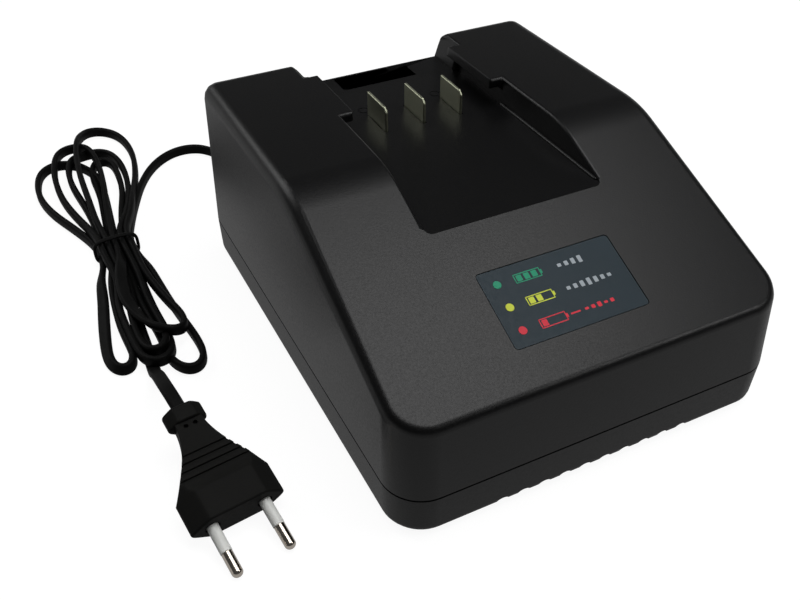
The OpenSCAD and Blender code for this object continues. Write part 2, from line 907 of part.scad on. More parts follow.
// Neck in the wall between two flanges, with a tapered sleeve outside
module strain_relief() {
  color("#181818")
    translate([gland_x, 0, seam_h]) rotate([-90, 0, 0]) {
      translate([0, 0, gland_in - 2]) cylinder(d = gland_d, h = 2);
      translate([0, 0, gland_in]) cylinder(d = gland_neck_d, h = rear_y - gland_in);
      translate([0, 0, rear_y]) cylinder(d = gland_d, h = 2);
      translate([0, 0, rear_y + 2]) cylinder(d1 = gland_neck_d - 1, d2 = cord_w + 2, h = gland_l - 2);
    }
}

// The lead stands on its narrow edge, as the strands of the hank do
edge_z = cord_w / 2 + 0.1;
lead_route = [[gland_x, gland_out, seam_h], [gland_x, gland_out + 7, seam_h - 0.6], [-46, 137, 14.6], [-49, 149, 10],
  [-53, 167, 5.5], [-59.5, 182, 3.4], [-68.9, 185.8, edge_z], [-78.2, 183.7, edge_z], [-89.4, 174.4, edge_z],
  [-95.4, 165.6, edge_z], [-99.3, 158.6, edge_z]];
wire_r = 1.2;
wire_gap = 3.2;
mains_z = board_top - seam_h;
mains_run = gland_in - 2 - (rear_y - board_rear) + 4;
mains_route = [[0, 0, 0], [0, -0.45 * mains_run, -2], [0, -0.85 * mains_run, mains_z + 4],
  [0, -mains_run, mains_z + 2.2], [0, -mains_run, mains_z]];

module cord_lead() {
  color("#101010") tube(smooth(lead_route, 2), cord_t / 2, cord_w / 2);
}

module mains_leads() {
  color("chocolate")
    for (side = [-1, 1])
      translate([gland_x + side * wire_gap / 2, gland_in - 2, seam_h])
        tube(smooth(mains_route, 3), wire_r, wire_r, 8, [1, 0, 0]);
}

waist_r = 9.8;
tie_pos = [-123, 106];

// Outline of the tied hank: a wide upper fan, a waist and a lower fan
module hank_plan() {
  hull() {
    translate([-123, 112]) circle(waist_r);
    translate([-136.5, 173]) circle(10.5);
    translate([-104, 182]) circle(9);
    translate([-108.5, 207]) circle(13);
  }
  hull() {
    translate([-123, 112]) circle(waist_r);
    translate([-123, 100]) circle(waist_r);
  }
  hull() {
    translate([-123, 100]) circle(waist_r);
    translate([-133.5, 36]) circle(9.5);
    translate([-116.5, 26]) circle(10);
  }
}

// Rounded section of the waist, grown by grow, run on by over at both ends
module tie_ring(grow, over) {
  translate([tie_pos[0], tie_pos[1] + tie_w / 2 + over, hank_h / 2]) rotate([90, 0, 0])
    linear_extrude(height = tie_w + 2 * over)
      offset(r = 3) square([2 * waist_r + 2 * grow - 6, hank_h - 2 * tie_t + 2 * grow - 6], center = true);
}

module cord_hank() {
  color("#101010")
    difference() {
      linear_extrude(height = hank_h) hank_plan();
      difference() {
        translate([tie_pos[0] - 20, tie_pos[1] - tie_w / 2, -1]) cube([40, tie_w, hank_h + 2]);
        tie_ring(0, 1);
      }
    }
}

module cord_tie() {
  color("#050505")
    difference() {
      tie_ring(tie_t, 0);
      tie_ring(0, 1);
    }
}

// ---------- Plug ----------

plug_pos = [-122, -63, 7.1];
plug_turn = 7.5;
plug_tilt = 15;
plug_axis = [-sin(plug_turn) * cos(plug_tilt), cos(plug_turn) * cos(plug_tilt), sin(plug_tilt)];
collar_w = 14.5;
collar_l = 6;
collar_t = 9.5;
neck_w = 9.8;
neck_t = 7;
collar_end = plug_pos + (plug_l + collar_l) * plug_axis;
tail_route = [[-128, 19, 5.5], [-128.4, 9, 8.5], [-128.4, 0, 13], [-128.2, -8, 17.4], collar_end + 7 * plug_axis, collar_end];
core_d = pin_d - 1;
pin_root = 8;

module cord_tail() {
  color("#101010") tube(smooth(tail_route, 2), cord_w / 2, cord_t / 2);
}

// Local frame of the plug: face at y = 0, cord towards +y
module at_plug() {
  translate(plug_pos) rotate([0, 0, plug_turn]) rotate([plug_tilt, 0, 0]) children();
}

// Half width of the plug between block and collar, a concave flare
function flare(y, wide, narrow) =
  narrow + (wide - narrow) * pow((plug_l - y) / (plug_l - plug_block), 1.8);

module plug_plan() {
  ys = [for (i = [0 : 10]) plug_block + i * (plug_l - plug_block) / 10];
  polygon(concat(
    [[-plug_w / 2, 0], [-plug_w / 2, plug_block]],
    [for (y = ys) if (y > plug_block) [-flare(y, plug_w / 2, neck_w / 2), y]],
    [for (i = [len(ys) - 1 : -1 : 0]) if (ys[i] > plug_block) [flare(ys[i], plug_w / 2, neck_w / 2), ys[i]]],
    [[plug_w / 2, plug_block], [plug_w / 2, 0]]
  ));
}

module plug_side() {
  polygon([[0, -plug_t / 2], [plug_block - 1, -plug_t / 2], [plug_block + 3, -plug_t / 2 + 1.6], [plug_l, -neck_t / 2],
    [plug_l, neck_t / 2], [plug_block + 3, plug_t / 2 - 1.6], [plug_block - 1, plug_t / 2], [0, plug_t / 2]]);
}

// Flattened six-sided section of the whole plug
module plug_section() {
  six_sided(plug_w, plug_t, 6.7, 1);
}

// Section of width w and thickness t, its sides bevelled over b to an edge of half height e
module six_sided(w, t, b, e) {
  polygon([[-w / 2, e], [b - w / 2, t / 2], [w / 2 - b, t / 2], [w / 2, e],
    [w / 2, -e], [w / 2 - b, -t / 2], [b - w / 2, -t / 2], [-w / 2, -e]]);
}

module plug_body() {
  color("#1c1c1c")
    at_plug()
      difference() {
        union() {
          intersection() {
            translate([0, 0, -plug_t]) linear_extrude(height = 2 * plug_t) plug_plan();
            rotate([90, 0, 90]) translate([0, 0, -plug_w]) linear_extrude(height = 2 * plug_w) plug_side();
            translate([0, plug_l, 0]) rotate([90, 0, 0]) linear_extrude(height = plug_l) plug_section();
          }
          translate([0, plug_l + collar_l, 0]) rotate([90, 0, 0])
            linear_extrude(height = collar_l + 0.5) six_sided(collar_w, collar_t, 3.6, 1.2);
        }
        for (i = [0 : groove_count - 1], side = [-1, 1])
          translate([-plug_w, plug_block + 4 + i * 3, side * (plug_t / 2 - 0.9 - i * 0.45) - 0.8])
            cube([2 * plug_w, 1.4, 1.6]);
        for (x = [-1.8, 1.8])
          translate([x, plug_l - 2.6, 0]) cylinder(d = 1.6, h = plug_t, $fn = 16);
        for (side = [-1, 1])
          translate([side * pin_pitch / 2, -1, 0]) rotate([-90, 0, 0]) cylinder(d = core_d, h = pin_root + 1);
      }
}

module plug_pin_sleeves() {
  color("white")
    at_plug()
      for (side = [-1, 1])
        translate([side * pin_pitch / 2, 0, 0]) rotate([90, 0, 0])
          difference() {
            cylinder(d = pin_d, h = sleeve_l);
            translate([0, 0, -1]) cylinder(d = core_d, h = sleeve_l + 2);
          }
}

module plug_pins() {
  color("silver")
    at_plug()
      for (side = [-1, 1])
        translate([side * pin_pitch / 2, 0, 0]) rotate([90, 0, 0]) {
          translate([0, 0, -pin_root]) cylinder(d = core_d, h = pin_root + sleeve_l + eps);
          translate([0, 0, sleeve_l]) cylinder(d = pin_d, h = pin_l - sleeve_l - pin_d / 2);
          translate([0, 0, pin_l - pin_d / 2])
            intersection() {
              sphere(d = pin_d);
              translate([0, 0, pin_d / 2]) cube([2 * pin_d, 2 * pin_d, pin_d], center = true);
            }
        }
}

wire_top = carrier_top - carrier_h - tail_l;
wire_drop = wire_top - board_top;
wire_x = 7;
wire_y = 4;
wire_route = [[0, 0, 0], [0, 0, -0.2 * wire_drop], [0.7 * wire_x, 0.5 * wire_y, -0.45 * wire_drop],
  [wire_x, wire_y, -0.7 * wire_drop], [wire_x, wire_y, -0.9 * wire_drop], [wire_x, wire_y, -wire_drop]];

module output_wires() {
  color("crimson")
    for (x = [-blade_pitch, 0, blade_pitch])
      translate([x, blade_y + blade_len / 2, wire_top]) tube(smooth(wire_route, 2), wire_r, wire_r, 8, [1, 0, 0]);
}

led_back = led_board_top - led_board_t;
led_wire_z = front_h + label_mid * sin(slope) + led_back * cos(slope);
led_wire_y = front_y + label_mid * cos(slope) - led_back * sin(slope);
led_drop = led_wire_z - board_top;
ribbon_y = 5;
ribbon_w = 6;
ribbon_t = 1.2;
ribbon_route = [[0, 0, 0], [0, 0.8 * ribbon_y * sin(slope), -0.8 * ribbon_y * cos(slope)],
  [0, 0.6 * ribbon_y, -0.4 * led_drop], [0, ribbon_y, -0.75 * led_drop], [0, ribbon_y, -0.9 * led_drop],
  [0, ribbon_y, -led_drop]];

module led_wires() {
  color("orange")
    translate([lamp_x, led_wire_y, led_wire_z]) tube(smooth(ribbon_route, 2), ribbon_w / 2, ribbon_t / 2, 8, [1, 0, 0]);
}

top_case();
bottom_case();
case_screws();
rubber_feet();
indicator_label();
led_green();
led_yellow();
led_red();
led_board();
led_board_screws();
contact_carrier();
carrier_screws();
blade_negative();
blade_signal();
blade_positive();
main_board();
board_screws();
fuse();
varistor();
x_capacitor();
common_mode_choke();
bridge_rectifier();
bulk_capacitor();
transformer_core();
transformer_bobbin();
transformer_winding();
switching_transistor();
primary_heatsink();
output_diode();
secondary_heatsink();
output_capacitors();
optocoupler();
controller_chip();
y_capacitor();
mains_leads();
output_wires();
led_wires();
strain_relief();
cord_lead();
cord_hank();
cord_tail();
cord_tie();
plug_body();
plug_pin_sleeves();
plug_pins();
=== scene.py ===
import json
import math

import bmesh
import bpy
import numpy as np
from mathutils import Matrix, Vector


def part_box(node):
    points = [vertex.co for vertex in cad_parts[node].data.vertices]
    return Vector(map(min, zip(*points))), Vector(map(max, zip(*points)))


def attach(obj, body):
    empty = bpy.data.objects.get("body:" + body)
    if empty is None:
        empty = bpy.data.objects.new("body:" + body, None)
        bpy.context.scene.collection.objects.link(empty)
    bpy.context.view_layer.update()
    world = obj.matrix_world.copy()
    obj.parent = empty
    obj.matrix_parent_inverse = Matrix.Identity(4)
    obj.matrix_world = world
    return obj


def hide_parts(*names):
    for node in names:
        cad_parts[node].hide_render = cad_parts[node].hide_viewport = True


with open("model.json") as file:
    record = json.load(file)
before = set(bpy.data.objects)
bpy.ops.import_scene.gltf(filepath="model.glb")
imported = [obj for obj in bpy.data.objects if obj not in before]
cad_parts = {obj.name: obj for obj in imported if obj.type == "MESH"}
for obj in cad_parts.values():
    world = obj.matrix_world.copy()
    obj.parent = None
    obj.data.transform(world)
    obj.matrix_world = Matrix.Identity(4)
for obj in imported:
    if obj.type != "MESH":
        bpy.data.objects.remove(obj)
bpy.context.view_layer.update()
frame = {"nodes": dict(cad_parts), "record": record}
nodes = frame["nodes"]
mm = 0.001
print("stage: frame loaded,", len(nodes), "nodes")

# The eye is in mm, the angles in degrees, and the lens in mm on a 36 mm sensor
view = {"eye": (-159.79, -258.48, 253.72), "heading": 26.44, "down": 39.08, "roll": -0.17, "lens": 41.54}


# Puts new data into the scene as an object
def addObject(name, data):
    thing = bpy.data.objects.new(name, data)
    bpy.context.scene.collection.objects.link(thing)
    return thing


def placeCamera():
    heading, down, roll = (math.radians(view[key]) for key in ("heading", "down", "roll"))
    ahead = Vector((math.sin(heading) * math.cos(down), math.cos(heading) * math.cos(down), -math.sin(down)))
    level = Vector((math.cos(heading), -math.sin(heading), 0))
    upright = level.cross(ahead)
    right = level * math.cos(roll) + upright * math.sin(roll)
    up = upright * math.cos(roll) - level * math.sin(roll)
    camera = addObject("camera", bpy.data.cameras.new("camera"))
    camera.data.lens = view["lens"]
    camera.data.clip_start = 0.01
    turn = Matrix((right, up, -ahead)).transposed().to_4x4()
    camera.matrix_world = Matrix.Translation(Vector(view["eye"]) * mm) @ turn
    bpy.context.scene.camera = camera


placeCamera()


# Turns an sRGB hex colour into the linear one that nodes take
def linearColour(text):
    values = [int(text[i:i + 2], 16) / 255 for i in (1, 3, 5)]
    return [v / 12.92 if v <= 0.04045 else ((v + 0.055) / 1.055) ** 2.4 for v in values] + [1]


# Adds one node: settings are its own fields, inputs are values or links by socket name or number
def addNode(tree, kind, inputs=None, **settings):
    node = tree.nodes.new(kind)
    for key, value in settings.items():
        setattr(node, key, value)
    for key, value in (inputs or {}).items():
        if isinstance(value, bpy.types.NodeSocket):
            tree.links.new(value, node.inputs[key])
        else:
            node.inputs[key].default_value = value
    return node


def emptyMaterial(name):
    material = bpy.data.materials.new(name)
    material.use_nodes = True
    material.node_tree.nodes.clear()
    return material, material.node_tree


# Broad patches of the second colour: size in mm, range of the noise, most that shows, and spread of gloss
patches = {"size": 18, "from": 0.35, "to": 0.65, "stain": 0.35, "glossSpread": 0.05}


# Grain is the pattern's real size in mm, and relief is the depth of its bumps in mm
def moulded(name, colour, other, grain, relief, rough, metallic=0.0, ior=1.5, specular=0.5):
    material, tree = emptyMaterial(name)
    place = addNode(tree, "ShaderNodeTexCoord").outputs["Object"]
    fine = addNode(tree, "ShaderNodeTexNoise",
                   {"Vector": place, "Scale": 1 / (grain * mm), "Detail": 2.0, "Roughness": 0.6})
    broad = addNode(tree, "ShaderNodeTexNoise",
                    {"Vector": place, "Scale": 1 / (patches["size"] * mm), "Detail": 3.0, "Roughness": 0.55})
    share = addNode(tree, "ShaderNodeMapRange",
                    {"Value": broad.outputs["Fac"], "From Min": patches["from"], "From Max": patches["to"],
                     "To Max": patches["stain"]})
    tint = addNode(tree, "ShaderNodeMix",
                   {0: share.outputs["Result"], 6: linearColour(colour), 7: linearColour(other)},
                   data_type="RGBA")
    gloss = addNode(tree, "ShaderNodeMapRange",
                    {"Value": fine.outputs["Fac"], "From Min": 0.3, "From Max": 0.7,
                     "To Min": rough - patches["glossSpread"], "To Max": rough + patches["glossSpread"]})
    bump = addNode(tree, "ShaderNodeBump",
                   {"Height": fine.outputs["Fac"], "Strength": 1.0, "Distance": relief * mm})
    shader = addNode(tree, "ShaderNodeBsdfPrincipled",
                     {"Base Color": tint.outputs[2], "Roughness": gloss.outputs["Result"], "Metallic": metallic,
                      "IOR": ior, "Specular IOR Level": specular, "Normal": bump.outputs["Normal"]})
    addNode(tree, "ShaderNodeOutputMaterial", {"Surface": shader.outputs["BSDF"]})
    return material


finishes = {
    # ABS moulded in a spark-eroded tool: near black, with a broad soft sheen
    "case_black": moulded("texturedAbs", "#070708", "#0b0b0b", 0.7, 0.03, 0.36, ior=1.54, specular=0.28),
    "base_black": moulded("texturedAbsBase", "#070708", "#0b0b0b", 0.7, 0.03, 0.4, ior=1.54, specular=0.22),
    # extruded flexible PVC: a smooth dark skin with hardly any shine
    "cord_black": moulded("flexiblePvc", "#121212", "#171716", 2.0, 0.02, 0.5, specular=0.05),
    # hard PVC moulded round the pins: a little lighter and duller than the cord
    "plug_black": moulded("mouldedPvcPlug", "#191918", "#1e1e1d", 0.8, 0.02, 0.55, specular=0.05),
    # moulded rubber and cast epoxy: matt, with a fine uneven skin
    "rubber_black": moulded("footRubber", "#101010", "#1a1a1a", 0.6, 0.03, 0.8),
    "inner_black": moulded("epoxyBlack", "#151515", "#1d1d1d", 0.5, 0.01, 0.5),
    # nickel on stamped brass: a warm grey with blurred reflections
    "contact_nickel": moulded("nickelPlate", "#b4b7a0", "#a0a38d", 1.2, 0.004, 0.42, metallic=1.0),
    # nickel on turned brass: clear reflections in long streaks
    "pin_nickel": moulded("nickelPin", "#cfc6bb", "#beb4a8", 1.5, 0.003, 0.16, metallic=1.0),
    # moulded nylon: clean white with a low gloss
    "sleeve_white": moulded("pinSleeveNylon", "#fafbf7", "#f3f4ef", 1.5, 0.01, 0.4),
    # zinc on cold-headed steel: grey, with grainy highlights
    "screw_steel": moulded("zincSteel", "#9a9c9e", "#84868a", 0.8, 0.01, 0.35, metallic=1.0),
    # screen-printed polycarbonate film: flat blue grey under an even sheen
    "label_film": moulded("printedFilm", "#1f3039", "#1c2b33", 1.5, 0.004, 0.45, specular=0.22),
    # ink and lens windows of the film: clear colours, no sparkle
    "lens_green": moulded("lensGreen", "#1d9f76", "#188a66", 0.8, 0.01, 0.4, specular=0.2),
    "lens_yellow": moulded("lensYellow", "#e2ec4a", "#ccd83c", 0.8, 0.01, 0.4, specular=0.2),
    "lens_red": moulded("lensRed", "#ea3346", "#cf2a3b", 0.8, 0.01, 0.4, specular=0.2),
    # solder mask on glass epoxy: deep green with a wet shine
    "board_green": moulded("solderMask", "#1d5a35", "#17492b", 3.0, 0.01, 0.35),
    # drawn glass: pale and very glossy
    "fuse_glass": moulded("fuseGlass", "#d8dcdc", "#c8cccc", 1.0, 0.01, 0.1),
    # dipped epoxy, moulded polyester and shrunk sleeves: plain colours with a plastic gloss
    "disc_blue": moulded("epoxyBlue", "#2a5f96", "#245283", 0.8, 0.02, 0.4),
    "capacitor_yellow": moulded("polyesterYellow", "#c79a2c", "#b58b26", 0.8, 0.01, 0.35),
    "capacitor_blue": moulded("sleeveBlue", "#1d2b55", "#182447", 1.0, 0.01, 0.3),
    "tape_yellow": moulded("polyesterTape", "#cfa82f", "#bd9728", 1.0, 0.01, 0.3),
    # enamelled copper wire, wound: red brown, with the bumps of its turns
    "choke_copper": moulded("enamelledCopper", "#a4552a", "#8c4520", 0.6, 0.05, 0.3),
    # pressed and fired ferrite: dark grey, slightly rough
    "ferrite_grey": moulded("ferrite", "#3a3b3d", "#303133", 0.4, 0.02, 0.6),
    # extruded aluminium: light grey with soft streaky highlights
    "heatsink_alu": moulded("extrudedAluminium", "#b7babd", "#a5a8ab", 0.8, 0.01, 0.35, metallic=1.0),
    # extruded wire PVC: smooth colours with a mild shine
    "wire_brown": moulded("wirePvcBrown", "#5a3620", "#4c2d1a", 0.8, 0.01, 0.4),
    "wire_red": moulded("wirePvcRed", "#a3181c", "#8c1317", 0.8, 0.01, 0.4),
    "ribbon_grey": moulded("ribbonPvcGrey", "#a0a2a5", "#8f9194", 0.8, 0.01, 0.45),
}

for subpart in frame["record"]["subparts"]:
    node = nodes[subpart["node"]]
    node.data.materials.clear()
    node.data.materials.append(finishes[subpart["material_slot"]])
print("stage: finishes made,", len(finishes))


# The helpers below take their sizes in mm
def newPiece(name, points, faces):
    mesh = bpy.data.meshes.new(name)
    mesh.from_pydata([Vector(p) * mm for p in points], [], faces)
    return addObject(name, mesh)


# Makes a piece of an edit mesh and closes it
def pieceOf(name, form):
    mesh = bpy.data.meshes.new(name)
    form.to_mesh(mesh)
    form.free()
    return addObject(name, mesh)


# Opens a piece's mesh, runs one edit on it and writes it back
def reshape(piece, edit):
    form = bmesh.new()
    form.from_mesh(piece.data)
    edit(form)
    form.to_mesh(piece.data)
    form.free()


# Gives what the modifiers make of an object, as a plain mesh
def evaluated(thing):
    bpy.context.view_layer.update()
    graph = bpy.context.evaluated_depsgraph_get()
    return bpy.data.meshes.new_from_object(thing.evaluated_get(graph))


# Keeps the result of all modifiers as the piece's own mesh
def freeze(piece):
    mesh = evaluated(piece)
    piece.modifiers.clear()
    piece.data = mesh


def tidyNormals(piece):
    def edit(form):
        bmesh.ops.remove_doubles(form, verts=form.verts, dist=0.00001)
        bmesh.ops.recalc_face_normals(form, faces=form.faces)

    reshape(piece, edit)


# Convex skin over a cloud of points, with faces merged where they differ by less than flatAngle degrees
def hullOf(name, points, flatAngle=0.3):
    form = bmesh.new()
    for point in points:
        form.verts.new(Vector(point))
    bmesh.ops.remove_doubles(form, verts=form.verts, dist=0.005)
    made = bmesh.ops.convex_hull(form, input=form.verts)
    spare = {v for v in made["geom_interior"] + made["geom_unused"] if isinstance(v, bmesh.types.BMVert)}
    bmesh.ops.delete(form, geom=list(spare), context="VERTS")
    loose = [v for v in form.verts if not v.link_faces]
    bmesh.ops.delete(form, geom=loose, context="VERTS")
    bmesh.ops.dissolve_limit(form, angle_limit=math.radians(flatAngle), verts=form.verts, edges=form.edges)
    bmesh.ops.recalc_face_normals(form, faces=form.faces)
    bmesh.ops.scale(form, vec=(mm, mm, mm), verts=form.verts)
    return pieceOf(name, form)


# Straight prism over a plan outline, between two heights, moved by an optional placing function
def prism(name, outline, low, high, placing=lambda p: p):
    count = len(outline)
    points = [placing((x, y, z)) for z in (low, high) for x, y in outline]
    faces = [list(range(count))[::-1], list(range(count, 2 * count))]
    faces += [[i, (i + 1) % count, count + (i + 1) % count, count + i] for i in range(count)]
    piece = newPiece(name, points, faces)
    tidyNormals(piece)
    return piece


# Placing function that lays a prism along y
def alongY(point):
    return (point[0], point[2], point[1])


def box(name, low, high):
    outline = [(low[0], low[1]), (high[0], low[1]), (high[0], high[1]), (low[0], high[1])]
    return prism(name, outline, low[2], high[2])


# Even angles of one full turn
def turns(count):
    return [2 * math.pi * i / count for i in range(count)]


def arc(centre, radius, start, end, steps):
    angles = [math.radians(start + (end - start) * i / steps) for i in range(steps + 1)]
    return [(centre[0] + radius * math.cos(a), centre[1] + radius * math.sin(a)) for a in angles]


def roundedPlate(width, length, radius, centre=(0, 0), steps=6):
    outline = []
    for turn, (sx, sy) in enumerate(((1, 1), (-1, 1), (-1, -1), (1, -1))):
        middle = (centre[0] + sx * (width / 2 - radius), centre[1] + sy * (length / 2 - radius))
        outline += arc(middle, radius, 90 * turn, 90 * turn + 90, steps)
    return outline


# Joins other pieces to a piece or cuts them out of it, and uses them up
def combine(piece, others, how):
    for other in others:
        step = piece.modifiers.new(how.lower(), "BOOLEAN")
        step.operation = how
        step.solver = "EXACT"
        step.object = other
        freeze(piece)
        bpy.data.objects.remove(other)


# Skin over rings of equal point counts; its ends are capped unless closed or drawn to a tip
def loft(name, rings, caps=True, closed=False):
    points = [p for ring in rings for p in ring]
    count, rows = len(rings[0]), len(rings)
    faces = []
    for j in range(rows if closed else rows - 1):
        k = (j + 1) % rows
        faces += [[j * count + i, j * count + (i + 1) % count, k * count + (i + 1) % count, k * count + i]
                  for i in range(count)]
    if caps and not closed:
        faces += [list(range(count)), [(rows - 1) * count + i for i in range(count)]]
    piece = newPiece(name, points, faces)
    tidyNormals(piece)
    return piece


# Turned form: profile holds radius and place along the axis, placing maps its points
def turned(name, profile, placing, around=40, closed=False):
    rings = [[placing((r * math.cos(t), along, r * math.sin(t))) for t in turns(around)]
             for r, along in profile]
    return loft(name, rings, caps=False, closed=closed)


# Cuts faces of many corners into triangles, so that a rounding can't tear them
def splitLargeFaces(piece):
    def edit(form):
        large = [f for f in form.faces if len(f.verts) > 4]
        bmesh.ops.triangulate(form, faces=large, ngon_method="BEAUTY")

    reshape(piece, edit)


# Flat regions become single faces first, so that narrow slivers don't pull the shading near a rounding
def shadeEvenly(piece, limit=38, flatAngle=0.1):
    def edit(form):
        bmesh.ops.dissolve_limit(form, angle_limit=math.radians(flatAngle), verts=form.verts, edges=form.edges)

    reshape(piece, edit)
    piece.data.polygons.foreach_set("use_smooth", [True] * len(piece.data.polygons))
    piece.data.set_sharp_from_angle(angle=math.radians(limit))
    step = piece.modifiers.new("even shading", "WEIGHTED_NORMAL")
    step.keep_sharp = True
    step.weight = 50
    freeze(piece)


# Small rounding on every edge sharper than the limit in degrees, then even shading
def softenEdges(piece, width, limit=32, segments=2):
    splitLargeFaces(piece)
    step = piece.modifiers.new("rounding", "BEVEL")
    step.width = width * mm
    step.segments = segments
    step.limit_method = "ANGLE"
    step.angle_limit = math.radians(limit)
    step.use_clamp_overlap = True
    step.miter_outer = "MITER_ARC"
    freeze(piece)
    shadeEvenly(piece)


# Rounding on the sharp edges that lie inside a box, given by its low and high corners
def roundWithin(piece, low, high, width, segments=4, limit=40):
    def edit(form):
        weight = form.edges.layers.float.new("bevel_weight_edge")
        for edge in form.edges:
            inside = all(low[k] <= v.co[k] / mm <= high[k] for v in edge.verts for k in range(3))
            if inside and edge.calc_face_angle(0) > math.radians(limit):
                edge[weight] = 1

    splitLargeFaces(piece)
    reshape(piece, edit)
    step = piece.modifiers.new("rounding", "BEVEL")
    step.width = width * mm
    step.segments = segments
    step.limit_method = "WEIGHT"
    step.use_clamp_overlap = False
    freeze(piece)
    piece.data.attributes.remove(piece.data.attributes["bevel_weight_edge"])


# Gives a piece its slot and its finish, which is the slot's own unless another one is named
def dress(piece, slotName, finish=None):
    piece.data.materials.clear()
    piece.data.materials.append(finish or finishes[slotName])
    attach(piece, "root")


# Flat cord: its section, its exit from the case, the waist that the tie holds, and the steps of its line
cord = {"width": 5.2, "thick": 2.8, "exit": (-45, 117, 19), "tieX": -123, "tieY": 106, "waist": 9.8,
        "topOfTie": 11.5, "tieReach": 9, "flatTail": 75, "clearance": 0.25, "coarseStep": 3.0, "fineStep": 1.0}

# Layers of strands in the tie: how far left the first one lies, pitch and height
layers = {"low": {"start": 7.75, "pitch": 3.1, "height": 3.7},
          "high": {"start": 6.6, "pitch": 3.3, "height": 8.9}}

# The lead comes off the strain relief, drops to the table and runs round to the hank
leadRoute = [(-45, 117, 19), (-45, 124, 18.4), (-46, 137, 14.6), (-49, 149, 10), (-53, 167, 5.5),
             (-59.5, 182, 3.2), (-68.9, 185.8, 2.7), (-78.2, 183.7, 2.7), (-89.4, 174.4, 2.7),
             (-95.4, 165.6, 2.7), (-102, 153.2, 2.7), (-107.1, 141, 2.7), (-111, 130, 2.8)]

# Loops of the hank, each from its left strand to its right one: five above the tie, then five below it
loops = {
    "outer": [(-137.5, 136.5, 2.7), (-143, 151, 2.7), (-146.5, 167.5, 2.7), (-146, 181.5, 2.7),
              (-140.5, 196.5, 2.7), (-130.5, 199.5, 2.7), (-121, 190, 2.7), (-117, 172, 3.2),
              (-117, 159.5, 4), (-119, 140, 4)],
    "second": [(-134, 139.5, 6.5), (-137, 157, 6.5), (-137.5, 172.5, 7.5), (-136, 187.5, 7.8),
               (-132.5, 200, 7), (-127, 209, 6.5), (-120.5, 210.5, 6.5), (-116, 202, 7.2), (-114.5, 186, 8),
               (-115.5, 169.5, 8), (-117.5, 154.5, 8), (-120, 138, 8)],
    "tall": [(-127, 127, 9.5), (-126.5, 142.5, 10.5), (-126, 160.5, 11), (-125, 177.5, 11),
             (-122.5, 196, 10.5), (-118, 212.5, 8.5), (-112.5, 223.5, 6), (-106, 226.5, 4.5),
             (-99.5, 220.5, 3.5), (-95.8, 209.5, 3), (-95, 194, 3), (-97.2, 178.5, 3), (-101.5, 161.5, 4.5),
             (-106, 145.5, 6.5), (-111, 129.5, 7.8)],
    "rightUp": [(-128, 138, 5.5), (-129, 154, 6), (-130.5, 168, 7), (-130, 180.5, 7.8), (-127.5, 191.5, 7),
                (-123.5, 199, 5), (-116, 203.5, 3.2), (-108, 202, 2.7), (-104, 191.5, 2.7),
                (-103, 180.5, 2.7), (-104, 167.5, 3), (-107, 151, 5), (-111.5, 133, 7)],
    "inner": [(-122, 139, 3), (-120, 155, 2.8), (-119, 170, 2.7), (-118, 183.5, 2.7), (-115.5, 192, 2.7),
              (-111.5, 195.5, 2.7), (-107.8, 191.5, 2.7), (-106.8, 182.5, 2.7), (-107.2, 169.5, 2.7),
              (-109, 156.5, 2.7), (-113.5, 139.5, 2.7)],
    "left": [(-133, 96.5, 2.7), (-136.5, 77.5, 2.7), (-140, 59.5, 2.7), (-142.5, 43.5, 2.7),
             (-143, 34, 2.7), (-140.8, 27, 2.7), (-136.3, 26, 2.7), (-133, 32, 2.7), (-133, 43.5, 3),
             (-133.5, 54.5, 3.6), (-132.5, 67, 4.5), (-130, 85.5, 6)],
    "wide": [(-129, 85, 6), (-132.5, 67, 5.5), (-133, 51.5, 5.2), (-132.5, 40.5, 5.2), (-131.5, 29.5, 5.4),
             (-128, 22, 5.6), (-123, 21.5, 5), (-119.5, 28, 4), (-118.5, 36.5, 3.2), (-118.5, 46.5, 2.8),
             (-119, 60.5, 2.7), (-118.5, 78, 2.7), (-118, 93.5, 2.7)],
    "top": [(-124.5, 90, 9.8), (-127.5, 74.5, 10), (-128.5, 61.5, 9.8), (-126.5, 51.5, 9.4),
            (-123.5, 43, 9), (-119.5, 36.5, 8.5), (-114.5, 33.5, 8), (-110.5, 36.5, 7.6), (-109.5, 43, 7.4),
            (-110.8, 50, 7.4), (-113, 60, 7.6), (-115, 71.5, 7.8), (-116.5, 85.5, 7.8)],
    "right": [(-122.5, 91, 2.7), (-123, 73.5, 2.7), (-122, 57, 2.7), (-120.8, 43.5, 2.7),
              (-120.8, 33.5, 2.7), (-120.3, 24, 2.7), (-117.5, 16.5, 2.7), (-113, 14.3, 2.7),
              (-109, 18, 2.7), (-107.8, 26, 2.7), (-108.2, 36, 2.7), (-109.8, 48, 2.7), (-111, 61, 2.7),
              (-112, 77.5, 2.7), (-113.5, 94, 2.7)],
    "middle": [(-125, 80.5, 7.8), (-127.5, 65, 7), (-129, 52.5, 6.5), (-130, 41.5, 6.5), (-129, 31.5, 6.8),
               (-125, 26.3, 7), (-120.5, 29.5, 7), (-118.5, 37, 6.6), (-119, 46, 6), (-119.5, 57, 6),
               (-119.5, 69.5, 6.5), (-119, 82.5, 7.5)],
}
tailRoute = [(-123, 88, 2.7), (-125.5, 66.5, 2.5), (-126.8, 52, 1.8), (-127.6, 42, 1.5), (-128, 32, 1.7),
             (-128.2, 25.5, 3), (-128.6, 20.5, 5.6), (-129, 14.5, 9.6), (-129.3, 6.5, 14.4),
             (-129.4, -2, 18.2), (-129.2, -8, 20.1), (-128.8, -11.8, 20.6), (-128.4, -14.6, 20.1),
             (-128.05, -17, 19.5), (-127.67, -19.9, 18.75)]

